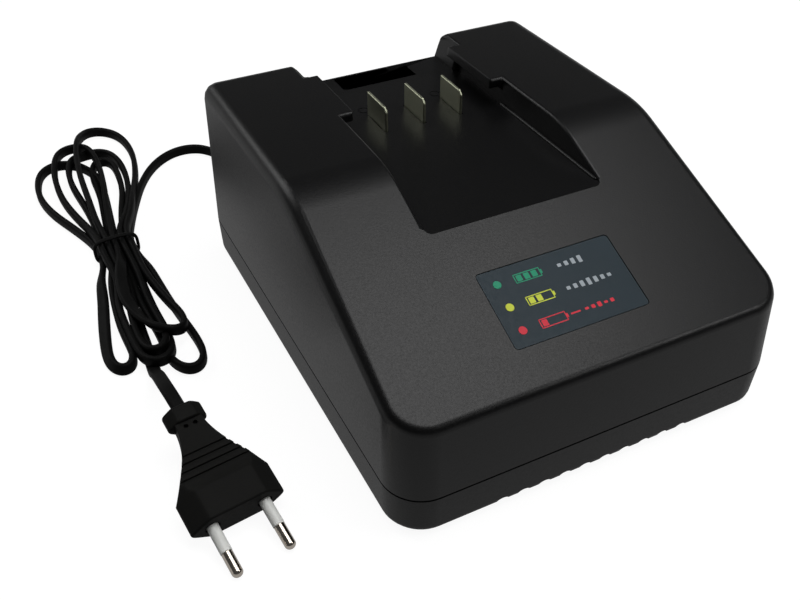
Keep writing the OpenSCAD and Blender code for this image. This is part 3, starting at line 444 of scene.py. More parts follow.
# Order of the strands: a layer, with the place in it where the cord passes, or a loop, with its direction
windings = [("low", 5), ("right", -1), ("low", 3), ("outer", -1), ("low", 0), ("left", 1), ("low", 1),
            ("rightUp", 1), ("high", 3), ("middle", -1), ("high", 1), ("tall", 1), ("high", 4), ("top", -1),
            ("high", 2), ("second", -1), ("high", 0), ("wide", 1), ("low", 4), ("inner", -1), ("low", 2)]

# Spots where the cord lies flat or nearly so: place and share of the flat lie
flatSpots = [((-126.2, 82, 9.8), 1), ((-127.5, 74.5, 10), 1), ((-128.3, 66, 10), 1),
             ((-128.4, 61.5, 9.8), 1), ((-127, 54, 9.6), 1), ((-135.2, 85, 2.7), 0.7),
             ((-137.2, 75, 2.7), 0.8), ((-138.9, 66, 2.7), 0.8), ((-140.4, 57, 2.7), 0.8),
             ((-141.8, 48, 2.7), 0.8), ((-142.6, 41, 2.7), 0.6)]


# Whole route of the cord: the lead, the loops between their passes through the tie, and the tail
def cordPath():
    route = list(leadRoute)
    downward = True
    for name, choice in windings:
        if name in layers:
            layer = layers[name]
            x = cord["tieX"] - layer["start"] + layer["pitch"] * choice
            strand = [(x, cord["tieY"] + dy * cord["tieReach"], layer["height"]) for dy in (1, 0, -1)]
            route += strand if downward else strand[::-1]
            downward = not downward
        else:
            route += loops[name][::choice]
    return np.array(route + tailRoute, float)


# Points at even steps along a line
def evenPoints(line, step):
    run = np.concatenate([[0], np.cumsum(np.linalg.norm(np.diff(line, axis=0), axis=1))])
    places = np.linspace(0, run[-1], int(round(run[-1] / step)) + 1)
    return np.stack([np.interp(places, run, line[:, k]) for k in range(3)], 1)


# Even points on a smooth curve through the route, without overshoot where its points lie close together
def smoothThrough(route, step, between=14):
    ends = np.vstack([2 * route[0] - route[1], route, 2 * route[-1] - route[-2]])
    knots = np.concatenate([[0], np.cumsum(np.linalg.norm(np.diff(ends, axis=0), axis=1) ** 0.5)])
    line = []
    for i in range(1, len(ends) - 2):
        k0, k1, k2, k3 = knots[i - 1:i + 3]
        a, b, c, d = ends[i - 1:i + 3]
        for u in np.linspace(k1, k2, between, endpoint=False):
            p1 = ((k1 - u) * a + (u - k0) * b) / (k1 - k0)
            p2 = ((k2 - u) * b + (u - k1) * c) / (k2 - k1)
            p3 = ((k3 - u) * c + (u - k2) * d) / (k3 - k2)
            q1 = ((k2 - u) * p1 + (u - k0) * p2) / (k2 - k0)
            q2 = ((k3 - u) * p2 + (u - k1) * p3) / (k3 - k1)
            line.append(((k2 - u) * q1 + (u - k1) * q2) / (k2 - k1))
    return evenPoints(np.array(line + [ends[-2]]), step)


# Share of the flat lie at each point: 0 stands on edge, 1 lies flat
def flatShare(line, step):
    share = np.zeros(len(line))
    for spot, flat in flatSpots:
        near = int(np.argmin(np.linalg.norm(line - np.array(spot), axis=1)))
        share[max(0, near - 2):near + 3] = flat
    share[-int(cord["flatTail"] / step):] = 1
    share[:3] = 0
    soft = np.ones(9) / 9
    for _ in range(2):
        share = np.convolve(np.pad(share, 4, mode="edge"), soft, "valid")
    return share


# How the cord settles: lengths in mm, and shares of a full correction that each of the rounds makes
settling = {"rounds": 320, "leastRadius": 6.5, "evenBend": 0.2, "unbend": 0.2, "stayPut": 0.03, "stayUp": 0.3,
            "fall": 0.01, "push": 0.3, "lookEvery": 8, "lookNear": (8, 8, 9), "notNext": 5, "held": (3, 9),
            "tieHalf": 3, "tieWall": 0.1, "tieFloor": 1, "tableGap": 0.02}


# Lets the stiff cord settle: strands push each other apart, rest on the table and stay under the tie
def settle(line, share, step):
    wide = cord["thick"] * (1 - share) + cord["width"] * share
    tall = cord["width"] * (1 - share) + cord["thick"] * share
    home = line.copy()
    count = len(line)
    order = np.arange(count)
    held = np.zeros(count, bool)
    held[:settling["held"][0]] = held[-settling["held"][1]:] = True
    mostBend = step * step / (2 * settling["leastRadius"])
    pairs = None
    for turn in range(settling["rounds"]):
        bend = np.zeros_like(line)
        bend[1:-1] = 0.5 * (line[:-2] + line[2:]) - line[1:-1]
        jerk = np.zeros_like(line)
        jerk[1:-1] = 0.5 * (bend[:-2] + bend[2:]) - bend[1:-1]
        size = np.linalg.norm(bend, axis=1)[:, None] + 1e-9
        tooMuch = settling["unbend"] * bend * np.maximum(0, 1 - mostBend / size)
        back = settling["stayPut"] * (home - line) * [1, 1, settling["stayUp"]]
        move = -settling["evenBend"] * jerk + back + tooMuch
        move[:-1] -= 0.5 * tooMuch[1:]
        move[1:] -= 0.5 * tooMuch[:-1]
        move[:, 2] -= settling["fall"]
        if turn % settling["lookEvery"] == 0:
            gap = np.abs(line[:, None] - line[None])
            close = (gap < settling["lookNear"]).all(2)
            close &= np.abs(order[:, None] - order[None]) > settling["notNext"]
            pairs = np.nonzero(close)
        one, two = pairs
        gap = line[one] - line[two]
        across = 0.5 * (wide[one] + wide[two])[:, None]
        above = 0.5 * (tall[one] + tall[two])[:, None]
        scale = np.concatenate([across, across, above], 1)
        nearness = np.linalg.norm(gap / scale, axis=1)
        touching = nearness < 1
        one, gap, scale, nearness = one[touching], gap[touching], scale[touching], nearness[touching]
        away = gap / scale ** 2
        away /= np.linalg.norm(away, axis=1)[:, None] + 1e-9
        push = np.zeros_like(line)
        hits = np.zeros(count)
        np.add.at(push, one, settling["push"] * (1 - nearness)[:, None] * away * scale.min(1)[:, None])
        np.add.at(hits, one, 1)
        move += push / np.sqrt(np.maximum(hits, 1))[:, None]
        move[held] = 0
        line = line + move
        line[:, 2] = np.maximum(line[:, 2], tall / 2 + settling["tableGap"])
        tied = (np.abs(line[:, 1] - cord["tieY"]) < settling["tieHalf"]) & (line[:, 0] < -100)
        reach = cord["waist"] - cord["thick"] / 2 - settling["tieWall"]
        line[tied, 0] = np.clip(line[tied, 0], cord["tieX"] - reach, cord["tieX"] + reach)
        line[tied, 2] = np.clip(line[tied, 2], settling["tieFloor"] + tall[tied] / 2,
                                cord["topOfTie"] - tall[tied] / 2)
    return line


# Runs the line through a short average and leaves its ends in place
def softenLine(line, reach=3, passes=3):
    weights = np.ones(2 * reach + 1) / (2 * reach + 1)
    for _ in range(passes):
        wider = np.pad(line, ((reach, reach), (0, 0)), mode="reflect", reflect_type="odd")
        line = np.stack([np.convolve(wider[:, k], weights, "valid") for k in range(3)], 1)
    return line


# Sweeps a rounded flat section along a curve; the curve's own tilt turns the section
def sweepTree():
    tree = bpy.data.node_groups.new("sweep flat cord", "GeometryNodeTree")
    tree.interface.new_socket("Path", in_out="INPUT", socket_type="NodeSocketGeometry")
    for label, value in (("Width", 0.005), ("Thickness", 0.003)):
        socket = tree.interface.new_socket(label, in_out="INPUT", socket_type="NodeSocketFloat")
        socket.default_value = value
    tree.interface.new_socket("Finish", in_out="INPUT", socket_type="NodeSocketMaterial")
    tree.interface.new_socket("Mesh", in_out="OUTPUT", socket_type="NodeSocketGeometry")
    given = addNode(tree, "NodeGroupInput").outputs
    level = addNode(tree, "GeometryNodeSetCurveNormal", {"Curve": given["Path"]}, mode="Z_UP")
    outline = addNode(tree, "GeometryNodeCurvePrimitiveQuadrilateral",
                      {"Width": given["Width"], "Height": given["Thickness"]})
    radius = addNode(tree, "ShaderNodeMath", {0: given["Thickness"], 1: 0.46}, operation="MULTIPLY")
    section = addNode(tree, "GeometryNodeFilletCurve",
                      {"Curve": outline.outputs["Curve"], "Count": 4, "Radius": radius.outputs["Value"]},
                      mode="POLY")
    swept = addNode(tree, "GeometryNodeCurveToMesh",
                    {"Curve": level.outputs["Curve"], "Profile Curve": section.outputs["Curve"],
                     "Fill Caps": True})
    smooth = addNode(tree, "GeometryNodeSetShadeSmooth", {"Geometry": swept.outputs["Mesh"]})
    real = addNode(tree, "GeometryNodeRealizeInstances", {"Geometry": smooth.outputs["Geometry"]})
    painted = addNode(tree, "GeometryNodeSetMaterial",
                      {"Geometry": real.outputs["Geometry"], "Material": given["Finish"]})
    addNode(tree, "NodeGroupOutput", {"Mesh": painted.outputs["Geometry"]})
    return tree


# Identifier of a tree's input, by its name
def treeInput(tree, label):
    return next(item.identifier for item in tree.interface.items_tree
                if item.item_type == "SOCKET" and item.in_out == "INPUT" and item.name == label)


def makeCord():
    line = smoothThrough(cordPath(), cord["coarseStep"])
    share = flatShare(line, cord["coarseStep"])
    line = settle(line, share, cord["coarseStep"])
    fine = softenLine(smoothThrough(line, cord["fineStep"]))
    run = np.linspace(0, 1, len(fine))
    fineShare = np.interp(run, np.linspace(0, 1, len(share)), share)
    half = 0.5 * (cord["width"] * (1 - fineShare) + cord["thick"] * fineShare)
    fine[3:, 2] = np.maximum(fine[3:, 2], half[3:] + cord["clearance"])
    fine = softenLine(fine, 2, 2)
    length = float(np.linalg.norm(np.diff(fine, axis=0), axis=1).sum())
    curve = bpy.data.curves.new("cordLine", "CURVE")
    curve.dimensions = "3D"
    spline = curve.splines.new("POLY")
    spline.points.add(len(fine) - 1)
    for point, place, lie in zip(spline.points, fine, fineShare):
        point.co = (*(place * mm), 1)
        point.tilt = math.radians(90) * (1 - lie)
    guide = addObject("cordLine", curve)
    tree = sweepTree()
    step = guide.modifiers.new("sweep", "NODES")
    step.node_group = tree
    for label, value in (("Width", cord["width"] * mm), ("Thickness", cord["thick"] * mm),
                         ("Finish", finishes["cord_black"])):
        step[treeInput(tree, label)] = value
    mesh = evaluated(guide)
    bpy.data.objects.remove(guide)
    piece = addObject("mainsCord", mesh)
    dress(piece, "cord_black")
    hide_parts("cord_lead", "cord_hank", "cord_tail")
    return piece, fine, length


cordPiece, cordLine, cordLength = makeCord()
print("stage: cord made,", round(cordLength), "mm,", len(cordPiece.data.polygons), "faces")

# Sizes in mm; leans are the set-back of a wall's top edge, edges are fillet radii
case = {"width": 157, "depth": 190, "height": 84, "frontHeight": 47.6, "seam": 19, "seamGap": 0.75, "wall": 2.5,
        "frontRadius": 14.5, "rearRadius": 6.5, "frontEdge": 4, "bendEdge": 5.5, "rearEdge": 6, "baseEdge": 3.5,
        "frontLean": 2.2, "sideLean": 1.6, "rearLean": 0.6, "deck": 97, "bend": 50, "foot": 1.3, "baseIn": 0.4,
        "tongue": 2.2, "gland": 5.05, "topSoft": 0.35, "baseSoft": 0.25}
bay = {"width": 73, "depth": 11.8, "corner": 2.6, "edge": 1.3, "edgeSpill": 9, "bead": 1, "guide": 2.6,
       "lipGap": 62, "lipThick": 4.4, "lipLength": 37.5, "lipBack": 17, "lipRoot": 1.5,
       "latchWidth": 35, "latchLength": 12.2, "latchDepth": 12, "latchRim": 1.7, "latchWall": 2,
       "marks": ((-17.7, 60.9), (16, 61.1)), "markRadius": 2.1, "markHalf": 0.2, "markDepth": 0.3}
blades = {"pitch": 17, "length": 17.5, "height": 10.2, "thick": 1.2, "chamfer": 1.8, "back": 37.7,
          "slotGap": 0.3, "edge": 0.45, "below": 13.5, "tailHalf": 3}
label = {"width": 53.6, "length": 30, "up": 16.2, "x": -1.2, "thick": 0.5, "corner": 1.3, "gap": 0.25,
         "sink": 0.6, "soft": 0.12, "lampEdge": 5.6, "lampPitch": 9.2, "lamp": 3, "gauge": 17.6}
vents = {"count": 10, "pitch": 8.5, "width": 6, "rise": 3.3, "length": 14}

rear = case["depth"] / 2
front = case["frontLean"] - rear
bendStart = rear - case["deck"]
slope = math.atan((case["height"] - case["frontHeight"]) / (bendStart - front))
bayFloor = case["height"] - bay["depth"]
bayFront = front + (bayFloor - case["frontHeight"]) / math.tan(slope)


# Points of a flat disc whose rim is rounded by edge, turned about x by tilt
def roundDisc(centre, radius, edge, tilt=0, around=48, rim=8):
    points = []
    for j in range(rim + 1):
        lift = math.pi * j / rim - math.pi / 2
        out = max(radius - edge, 0) + edge * math.cos(lift)
        up = edge * math.sin(lift)
        for turn in turns(around):
            x, y = out * math.cos(turn), out * math.sin(turn)
            points.append((centre[0] + x, centre[1] + y * math.cos(tilt) - up * math.sin(tilt),
                           centre[2] + y * math.sin(tilt) + up * math.cos(tilt)))
    return points


def ringAt(centre, radius, around=48):
    return [(centre[0] + radius * math.cos(turn), centre[1] + radius * math.sin(turn), centre[2])
            for turn in turns(around)]


# Rings at the four corners of the case, at the height of its joint
def seamRings(inset, z):
    points = []
    for side in (-1, 1):
        for radius, end in ((case["frontRadius"], -1), (case["rearRadius"], 1)):
            points += ringAt((side * (case["width"] / 2 - radius), end * (rear - radius), z), radius - inset)
    return points


# How far the side walls have leaned in at a height
def leanAt(z):
    return case["sideLean"] * (z - case["seam"]) / (case["height"] - case["seam"])


# Upper skin set in by inset: corner discs at the front, a row of balls round the bend, discs at the rear
def upperSkin(name, inset, low, bendSteps=12):
    topEdge, bendEdge, rearEdge = (max(case[key] - inset, 0.4) for key in ("frontEdge", "bendEdge", "rearEdge"))
    half, radius = case["width"] / 2, case["frontRadius"]
    halfTop = half - leanAt(case["height"])
    y = front + (radius - case["frontEdge"]) * math.cos(slope) + case["frontEdge"]
    z = case["frontHeight"] + (y - front) * math.tan(slope) - case["frontEdge"] / math.cos(slope)
    arcY = bendStart + case["bend"] * math.tan(slope / 2)
    reach = case["bend"] - case["bendEdge"]
    points = seamRings(inset, low)
    for side in (-1, 1):
        points += roundDisc((side * (half - leanAt(z) - radius), y, z), radius - inset, topEdge, slope)
        for i in range(bendSteps + 1):
            turn = slope * i / bendSteps
            middle = (side * (halfTop - case["bendEdge"]), arcY - reach * math.sin(turn),
                      case["height"] - case["bend"] + reach * math.cos(turn))
            points += roundDisc(middle, bendEdge, bendEdge, turn, 32, 16)
        corner = (side * (halfTop - case["rearRadius"]), rear - case["rearLean"] - case["rearRadius"],
                  case["height"] - case["rearEdge"])
        points += roundDisc(corner, case["rearRadius"] - inset, rearEdge)
    return hullOf(name, points)


def lowerSkin(name, inset, top):
    edge = max(case["baseEdge"] - inset, 0.6)
    half, inward = case["width"] / 2 - case["baseIn"], case["baseIn"]
    z = case["foot"] + case["baseEdge"]
    points = seamRings(inset, top)
    for side in (-1, 1):
        for radius, y in ((case["frontRadius"], inward + case["frontRadius"] - rear),
                          (case["rearRadius"], rear - inward - case["rearRadius"])):
            points += roundDisc((side * (half - radius), y, z), radius - inset, edge)
    return hullOf(name, points)


# Plan of the case at its joint
def seamOutline(inset):
    outline = []
    corners = ((1, 1, "rearRadius", 10), (-1, 1, "rearRadius", 10),
               (-1, -1, "frontRadius", 14), (1, -1, "frontRadius", 14))
    for turn, (sx, sy, key, steps) in enumerate(corners):
        radius = case[key]
        middle = (sx * (case["width"] / 2 - radius), sy * (rear - radius))
        outline += arc(middle, radius - inset, 90 * turn, 90 * turn + 90, steps)
    return outline


# Placing function for the sloping face: x, way up the slope from the front edge, and height over it
def onSlope(x, up, out):
    return (x, front + up * math.cos(slope) - out * math.sin(slope),
            case["frontHeight"] + up * math.sin(slope) + out * math.cos(slope))


# Plan of the bay, open past the rear wall
def bayOutline(grow):
    half, corner = bay["width"] / 2, bay["corner"]
    outline = arc((corner - half, bayFront + corner), corner + grow, 180, 270, 8)
    outline += arc((half - corner, bayFront + corner), corner + grow, 270, 360, 8)
    return outline + [(half + grow, rear + 3), (-half - grow, rear + 3)]


def latchBox(name, grow, top):
    half, y = bay["latchWidth"] / 2, rear - bay["latchRim"] - bay["latchLength"]
    return box(name, (-half - grow, y - grow, bayFloor - bay["latchDepth"] - grow),
               (half + grow, y + bay["latchLength"] + grow, top))


# Lip over the groove that a battery's rail slides in
def railLip(side):
    low, high = case["height"] - bay["lipThick"], case["height"] + 5
    start, end = rear - bay["lipBack"] - bay["lipLength"], rear - bay["lipBack"]
    inner, outer = sorted((side * bay["lipGap"] / 2, side * (bay["width"] / 2 + bay["lipRoot"])))
    return box("lip", (inner, start, low), (outer, end, high))


# Sloping guide behind the lip, where a battery's rail slides in
def railGuide(side):
    half = bay["width"] / 2
    outer, foot, top = half + bay["lipRoot"], half - bay["guide"], half + 0.1
    profile = [(outer, bayFloor - 1), (foot, bayFloor - 1), (foot, bayFloor + 1.2), (top, case["height"]),
               (top, case["height"] + 5), (outer, case["height"] + 5)]
    return prism("guide", [(side * x, z) for x, z in profile], rear - bay["lipBack"] - 1, rear + 4, alongY)


# Rounded bead along the foot of the bay's side wall, in front of the lip
def floorBead(side):
    r, start, end = bay["bead"], bayFront + bay["corner"] + 1, rear - bay["lipBack"] - bay["lipLength"]
    return turned("bead", [(0, start), (0.6 * r, start + 0.3), (r, start + 1.2), (r, end - 1), (0, end)],
                  lambda p: (side * bay["width"] / 2 + p[0], p[1], bayFloor + p[2]), 24)


# Slot in the bay's floor for the blade at x
def bladeSlot(x, gap, low, high):
    y = rear - blades["back"] - blades["length"]
    return box("slot", (x - blades["thick"] / 2 - gap, y - gap, low),
               (x + blades["thick"] / 2 + gap, y + blades["length"] + gap, high))


# Shallow ring pressed into the bay's floor
def floorRing(x, y):
    inner, outer = bay["markRadius"] - bay["markHalf"], bay["markRadius"] + bay["markHalf"]
    low, high = -bay["markDepth"], 0.5
    return turned("mark", [(inner, low), (outer, low), (outer, high), (inner, high)],
                  lambda p: (x + p[0], y + p[2], bayFloor + p[1]), 40, True)


def makeTopCase():
    shell = upperSkin("topCase", 0, case["seam"])
    space = prism("space", bayOutline(0), bayFloor, case["height"] + 4)
    combine(space, [form(side) for form in (railLip, railGuide) for side in (-1, 1)], "DIFFERENCE")
    combine(shell, [space], "DIFFERENCE")
    reach = bay["width"] / 2 + 1
    roundWithin(shell, (-reach, bayFront - bay["edgeSpill"], bayFloor + 1),
                (reach, rear + 1, case["height"] + 1), bay["edge"])
    cavity = upperSkin("cavity", case["wall"], case["seam"] - 1)
    keep = prism("keep", bayOutline(case["wall"]), bayFloor - case["wall"], case["height"] + 2)
    combine(cavity, [keep, latchBox("cup", bay["latchWall"], bayFloor + 1)], "DIFFERENCE")
    cuts = [cavity, latchBox("latch", 0, bayFloor + 1)]
    window = roundedPlate(label["width"] + 2 * label["gap"], label["length"] + 2 * label["gap"],
                          label["corner"] + label["gap"], (label["x"], label["up"] + label["length"] / 2))
    cuts.append(prism("window", window, -label["sink"], 3, lambda p: onSlope(*p)))
    cuts += [bladeSlot(i * blades["pitch"], blades["slotGap"], bayFloor - 4, bayFloor + 1) for i in (-1, 0, 1)]
    gland = arc((cord["exit"][0], case["seam"]), case["gland"], 0, 352.5, 47)
    cuts.append(prism("gland", gland, rear - 6, rear + 2, alongY))
    cuts.append(prism("tongueRoom", seamOutline(case["wall"] / 2 + 0.1), case["seam"] - 1,
                      case["seam"] + case["tongue"] + 0.4))
    cuts += [floorRing(x, y) for x, y in bay["marks"]]
    combine(shell, cuts, "DIFFERENCE")
    combine(shell, [floorBead(side) for side in (-1, 1)], "UNION")
    softenEdges(shell, case["topSoft"])
    dress(shell, "case_black")
    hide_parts("top_case")
    return shell


def makeBottomCase():
    shell = lowerSkin("bottomCase", 0, case["seam"] - case["seamGap"])
    cavity = lowerSkin("cavity", case["wall"], case["seam"] + 2)
    combine(shell, [cavity], "DIFFERENCE")
    tongue = prism("tongue", seamOutline(case["wall"] / 2 + 0.25), case["seam"] - 3,
                   case["seam"] + case["tongue"])
    hollow = prism("hollow", seamOutline(case["wall"]), case["seam"] - 4, case["seam"] + 4)
    combine(tongue, [hollow], "DIFFERENCE")
    combine(shell, [tongue], "UNION")
    grooves = []
    z = case["foot"] + vents["rise"] - vents["width"] / 2
    for i in range(vents["count"]):
        x = (i - (vents["count"] - 1) / 2) * vents["pitch"] + label["x"]
        outline = arc((x, z), vents["width"] / 2, 0, 345, 23)
        grooves.append(prism("groove", outline, -rear - 2, vents["length"] - rear, alongY))
    combine(shell, grooves, "DIFFERENCE")
    softenEdges(shell, case["baseSoft"])
    dress(shell, "base_black")
    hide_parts("bottom_case")
    return shell


topCase = makeTopCase()
bottomCase = makeBottomCase()
print("stage: case made,", len(topCase.data.polygons), "and", len(bottomCase.data.polygons), "faces")


# Stamped blade with a lead-in chamfer at its front corner and a narrow tail
def makeBlade(name, x):
    y = rear - blades["back"] - blades["length"]
    top, low, foot = bayFloor + blades["height"], bayFloor - blades["below"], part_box(name)[0].z / mm
    length, chamfer = blades["length"], blades["chamfer"]
    tailFront, tailRear = length / 2 - blades["tailHalf"], length / 2 + blades["tailHalf"]
    side = [(0, low), (0, top - chamfer), (chamfer, top), (length, top), (length, low), (tailRear, low),
            (tailRear, foot), (tailFront, foot), (tailFront, low)]
    piece = prism(name + "Plate", side, x - blades["thick"] / 2, x + blades["thick"] / 2,
                  lambda p: (p[2], y + p[0], p[1]))
    softenEdges(piece, blades["edge"], segments=4)
    dress(piece, "contact_nickel")
    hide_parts(name)


for name, place in (("blade_negative", -1), ("blade_signal", 0), ("blade_positive", 1)):
    makeBlade(name, place * blades["pitch"])
print("stage: contact blades made")

# Printed marks: a gauge with a stud and bars in each row, a dash with dots, and two white scales
prints = {"above": 0.04, "below": 0.05, "lampAbove": 0.1, "gaugeSize": (10.4, 3.6), "line": 0.35,
          "stud": (0.7, 1.6), "studAt": 5.5, "bar": (2.1, 2.4), "firstBar": 3.3, "barPitch": 3, "corner": 0.2,
          "dash": (4, 0.6), "dashAt": 26.5, "dot": (1.5, 0.9), "dotsAt": 31, "dotPitch": 2.6, "dots": 5,
          "tick": (1.5, 1.3), "tickPitch": 2.8, "grow": 0.5}
rows = (("labelMarksGreen", "lens_green", 1, 3), ("labelMarksYellow", "lens_yellow", 0, 2),
        ("labelMarksRed", "lens_red", -1, 1))  # piece, slot, row from the middle, bars in the gauge
scales = ((1, 30.5, 4), (0, 29, 7))  # row, distance of the first tick from the label's left edge, ticks
printLow, printHigh = label["thick"] - prints["below"], label["thick"] + prints["above"]


# Rounded plate on the label's face, with its place measured from the label's middle
def labelBit(size, radius, place=(0, 0), steps=2, low=printLow, high=printHigh):
    middle = label["up"] + label["length"] / 2
    return prism("bit", roundedPlate(*size, radius, place, steps), low, high,
                 lambda p: onSlope(label["x"] + p[0], middle + p[1], p[2] - label["sink"]))


# Makes one piece of several and uses them up
def joined(name, parts):
    form = bmesh.new()
    for part in parts:
        form.from_mesh(part.data)
        bpy.data.objects.remove(part)
    return pieceOf(name, form)


# Frame of four thin bars
def frameBits(x, y, size, line):
    width, length = size
    bits = []
    for side in (-1, 1):
        bits.append(labelBit((width, line), line * 0.45, (x, y + side * (length - line) / 2)))
        bits.append(labelBit((line, length), line * 0.45, (x + side * (width - line) / 2, y)))
    return bits


def makeLabel():
    film = labelBit((label["width"], label["length"]), label["corner"], steps=6, low=0, high=label["thick"])
    film.name = "labelFilm"
    softenEdges(film, label["soft"])
    dress(film, "label_film")
    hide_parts("indicator_label")
    edge = -label["width"] / 2
    gauge, corner, lamp = edge + label["gauge"], prints["corner"], label["lamp"]
    for name, slotName, row, bars in rows:
        y = row * label["lampPitch"]
        bits = [labelBit((lamp, lamp), lamp / 2 - 0.01, (edge + label["lampEdge"], y), 8,
                         high=printHigh + prints["lampAbove"])]
        bits += frameBits(gauge, y, prints["gaugeSize"], prints["line"])
        bits.append(labelBit(prints["stud"], corner, (gauge + prints["studAt"], y)))
        for i in range(bars):
            spot = (gauge - prints["firstBar"] + prints["barPitch"] * i, y)
            bits.append(labelBit(prints["bar"], corner, spot))
        if row < 0:
            bits.append(labelBit(prints["dash"], 0.25, (edge + prints["dashAt"], y)))
            wide, high = prints["dot"]
            for i in range(prints["dots"]):
                spot = (edge + prints["dotsAt"] + prints["dotPitch"] * i, y)
                bits.append(labelBit((wide, high + prints["grow"] * (i % 3)), 0.3, spot, 3))
        dress(joined(name, bits), slotName)
    ticks = []
    wide, high = prints["tick"]
    for row, start, count in scales:
        for i in range(count):
            spot = (edge + start + prints["tickPitch"] * i, row * label["lampPitch"])
            steps = min(i, count - 1 - i if count > 4 else i)  # long scales rise and fall, short ones rise
            ticks.append(labelBit((wide, high + prints["grow"] * steps), 0.25, spot, 3))
    dress(joined("labelMarksWhite", ticks), "sleeve_white", printWhite)


# White screen-printing ink: a cool grey white with the film's own low sheen
printWhite = moulded("printedWhite", "#b4bcc3", "#a6aeb5", 0.8, 0.004, 0.45, specular=0.2)
makeLabel()
print("stage: label made")

# Place in mm, turn and tilt in degrees; flare is the power of the concave sides, step the fall behind the head
plug = {"place": (-122, -63, 7.1), "turn": 7.5, "tilt": 15, "width": 34, "thick": 13.7, "length": 39,
        "block": 12, "neckWidth": 9.8, "neckThick": 7, "flare": 1.8, "step": 1.6, "stepLength": 4,
        "faceEdge": 0.8, "slant": 6.7, "sideWall": 1,
        "collarWidth": 14.5, "collarThick": 9.5, "collarLength": 6, "collarEdge": 0.9, "collarIn": 0.6,
        "collarSlant": 3.6, "collarWall": 1.2,
        "grooves": 4, "groovePitch": 2.9, "grooveWidth": 1.5, "grooveDepth": 0.75, "firstGroove": 15.8,
        "pinPitch": 19, "pinRadius": 1.95, "pinLength": 19, "sleeveRadius": 2.08, "sleeveLength": 10,
        "core": 1.5, "seatRadius": 2.9, "seatDepth": 0.6, "holeRadius": 0.85, "holeSide": 1.7, "holeBack": 2.6}
plugPlace = (Matrix.Translation(Vector(plug["place"])) @ Matrix.Rotation(math.radians(plug["turn"]), 4, "Z")
             @ Matrix.Rotation(math.radians(plug["tilt"]), 4, "X"))


def atPlug(point):
    return plugPlace @ Vector(point)


# Placing function for what is turned about the left or right pin
def atPin(side):
    return lambda p: atPlug((side * plug["pinPitch"] / 2 + p[0], p[1], p[2]))


# Flat hexagon with soft corners, a by b in half size. Its slants pass through the point (wide, edge) and
# fall by bevelHigh over bevelWide, and a higher sharpness makes its corners smaller.
def softHexagon(y, a, b, bevelWide, bevelHigh, edge, wide, inset=0, sharpness=30):
    normal = Vector((bevelHigh, bevelWide)).normalized()
    reach = normal.dot(Vector((wide, edge))) - inset
    a, b = a - inset, b - inset
    side = min(b, (reach - normal.x * a) / normal.y)
    top = min(a, (reach - normal.y * b) / normal.x)
    keys = [(a, 0), (a, side), (top, b), (0, b)]
    quarter = []
    for start, end in zip(keys, keys[1:]):
        for i in range(8):
            share = 0.5 - 0.5 * math.cos(math.pi * i / 8)
            quarter.append((start[0] + (end[0] - start[0]) * share, start[1] + (end[1] - start[1]) * share))
    quarter.append(keys[-1])
    soft = []
    for x, z in quarter:
        far = ((x / a) ** sharpness + (z / b) ** sharpness
               + (max(0, normal.x * x + normal.y * z) / reach) ** sharpness) ** (-1 / sharpness)
        soft.append((x * far, z * far))
    half = soft + [(-x, z) for x, z in soft[-2::-1]]
    return [(x, y, z) for x, z in half] + [(x, y, -z) for x, z in half[-2:0:-1]]


# Depth of the grip grooves at a place along the plug
def grooveAt(y):
    for i in range(plug["grooves"]):
        start = plug["firstGroove"] + i * plug["groovePitch"]
        if start + 0.1 < y < start + plug["grooveWidth"] - 0.1:
            return plug["grooveDepth"]
    return 0


# Places along a rounded end, each with how far its ring is set in
def endSteps(radius, angles):
    return [(radius * (1 - math.cos(t)), radius * (1 - math.sin(t))) for t in angles]


def makePlugHead():
    half, thick, neck = plug["width"] / 2, plug["thick"] / 2, plug["neckWidth"] / 2
    block, length, low = plug["block"], plug["length"], plug["neckThick"] / 2
    shoulder = block + plug["stepLength"] - 1
    stations = endSteps(plug["faceEdge"], (0, 0.4, 0.8, 1.2, math.pi / 2))
    stations += [(y, 0) for y in (3, 6, 9, 11, 11.6, block, 12.5, 13, 14, 15)]
    for i in range(plug["grooves"]):
        start = plug["firstGroove"] + i * plug["groovePitch"]
        across = (0, 0.2, 0.75, plug["grooveWidth"] - 0.2, plug["grooveWidth"], 2.2)
        stations += [(start + d, 0) for d in across]
    stations += [(27.5 + i, 0) for i in range(12)]
    rings = []
    for y, inset in stations:
        a = half if y <= block else neck + (half - neck) * ((length - y) / (length - block)) ** plug["flare"]
        drop = min(1, max(0, (y - block + 1) / plug["stepLength"]))
        b = thick - plug["step"] * drop * drop * (3 - 2 * drop)
        if y > shoulder:
            b = low + (thick - plug["step"] - low) * (length - y) / (length - shoulder)
        rings.append(softHexagon(y, a, b - grooveAt(y), plug["slant"], thick - plug["sideWall"],
                                 plug["sideWall"], half, inset))
    return loft("plugBody", [[atPlug(p) for p in ring] for ring in rings])


def makeCollar():
    wide, high, wall = plug["collarWidth"] / 2, plug["collarThick"] / 2, plug["collarWall"]
    start, end = plug["length"], plug["length"] + plug["collarLength"]
    ends = endSteps(plug["collarEdge"], (0, 0.5, 1, math.pi / 2))
    stations = [(start - plug["collarIn"] + y, inset) for y, inset in ends]
    stations += [(start + 2.4, 0), (end - 2.4, 0)]
    stations += [(end - y, inset) for y, inset in ends[::-1]]
    rings = [softHexagon(y, wide, high, plug["collarSlant"], high - wall, wall, wide, inset, 20)
             for y, inset in stations]
    return loft("collar", [[atPlug(p) for p in ring] for ring in rings])


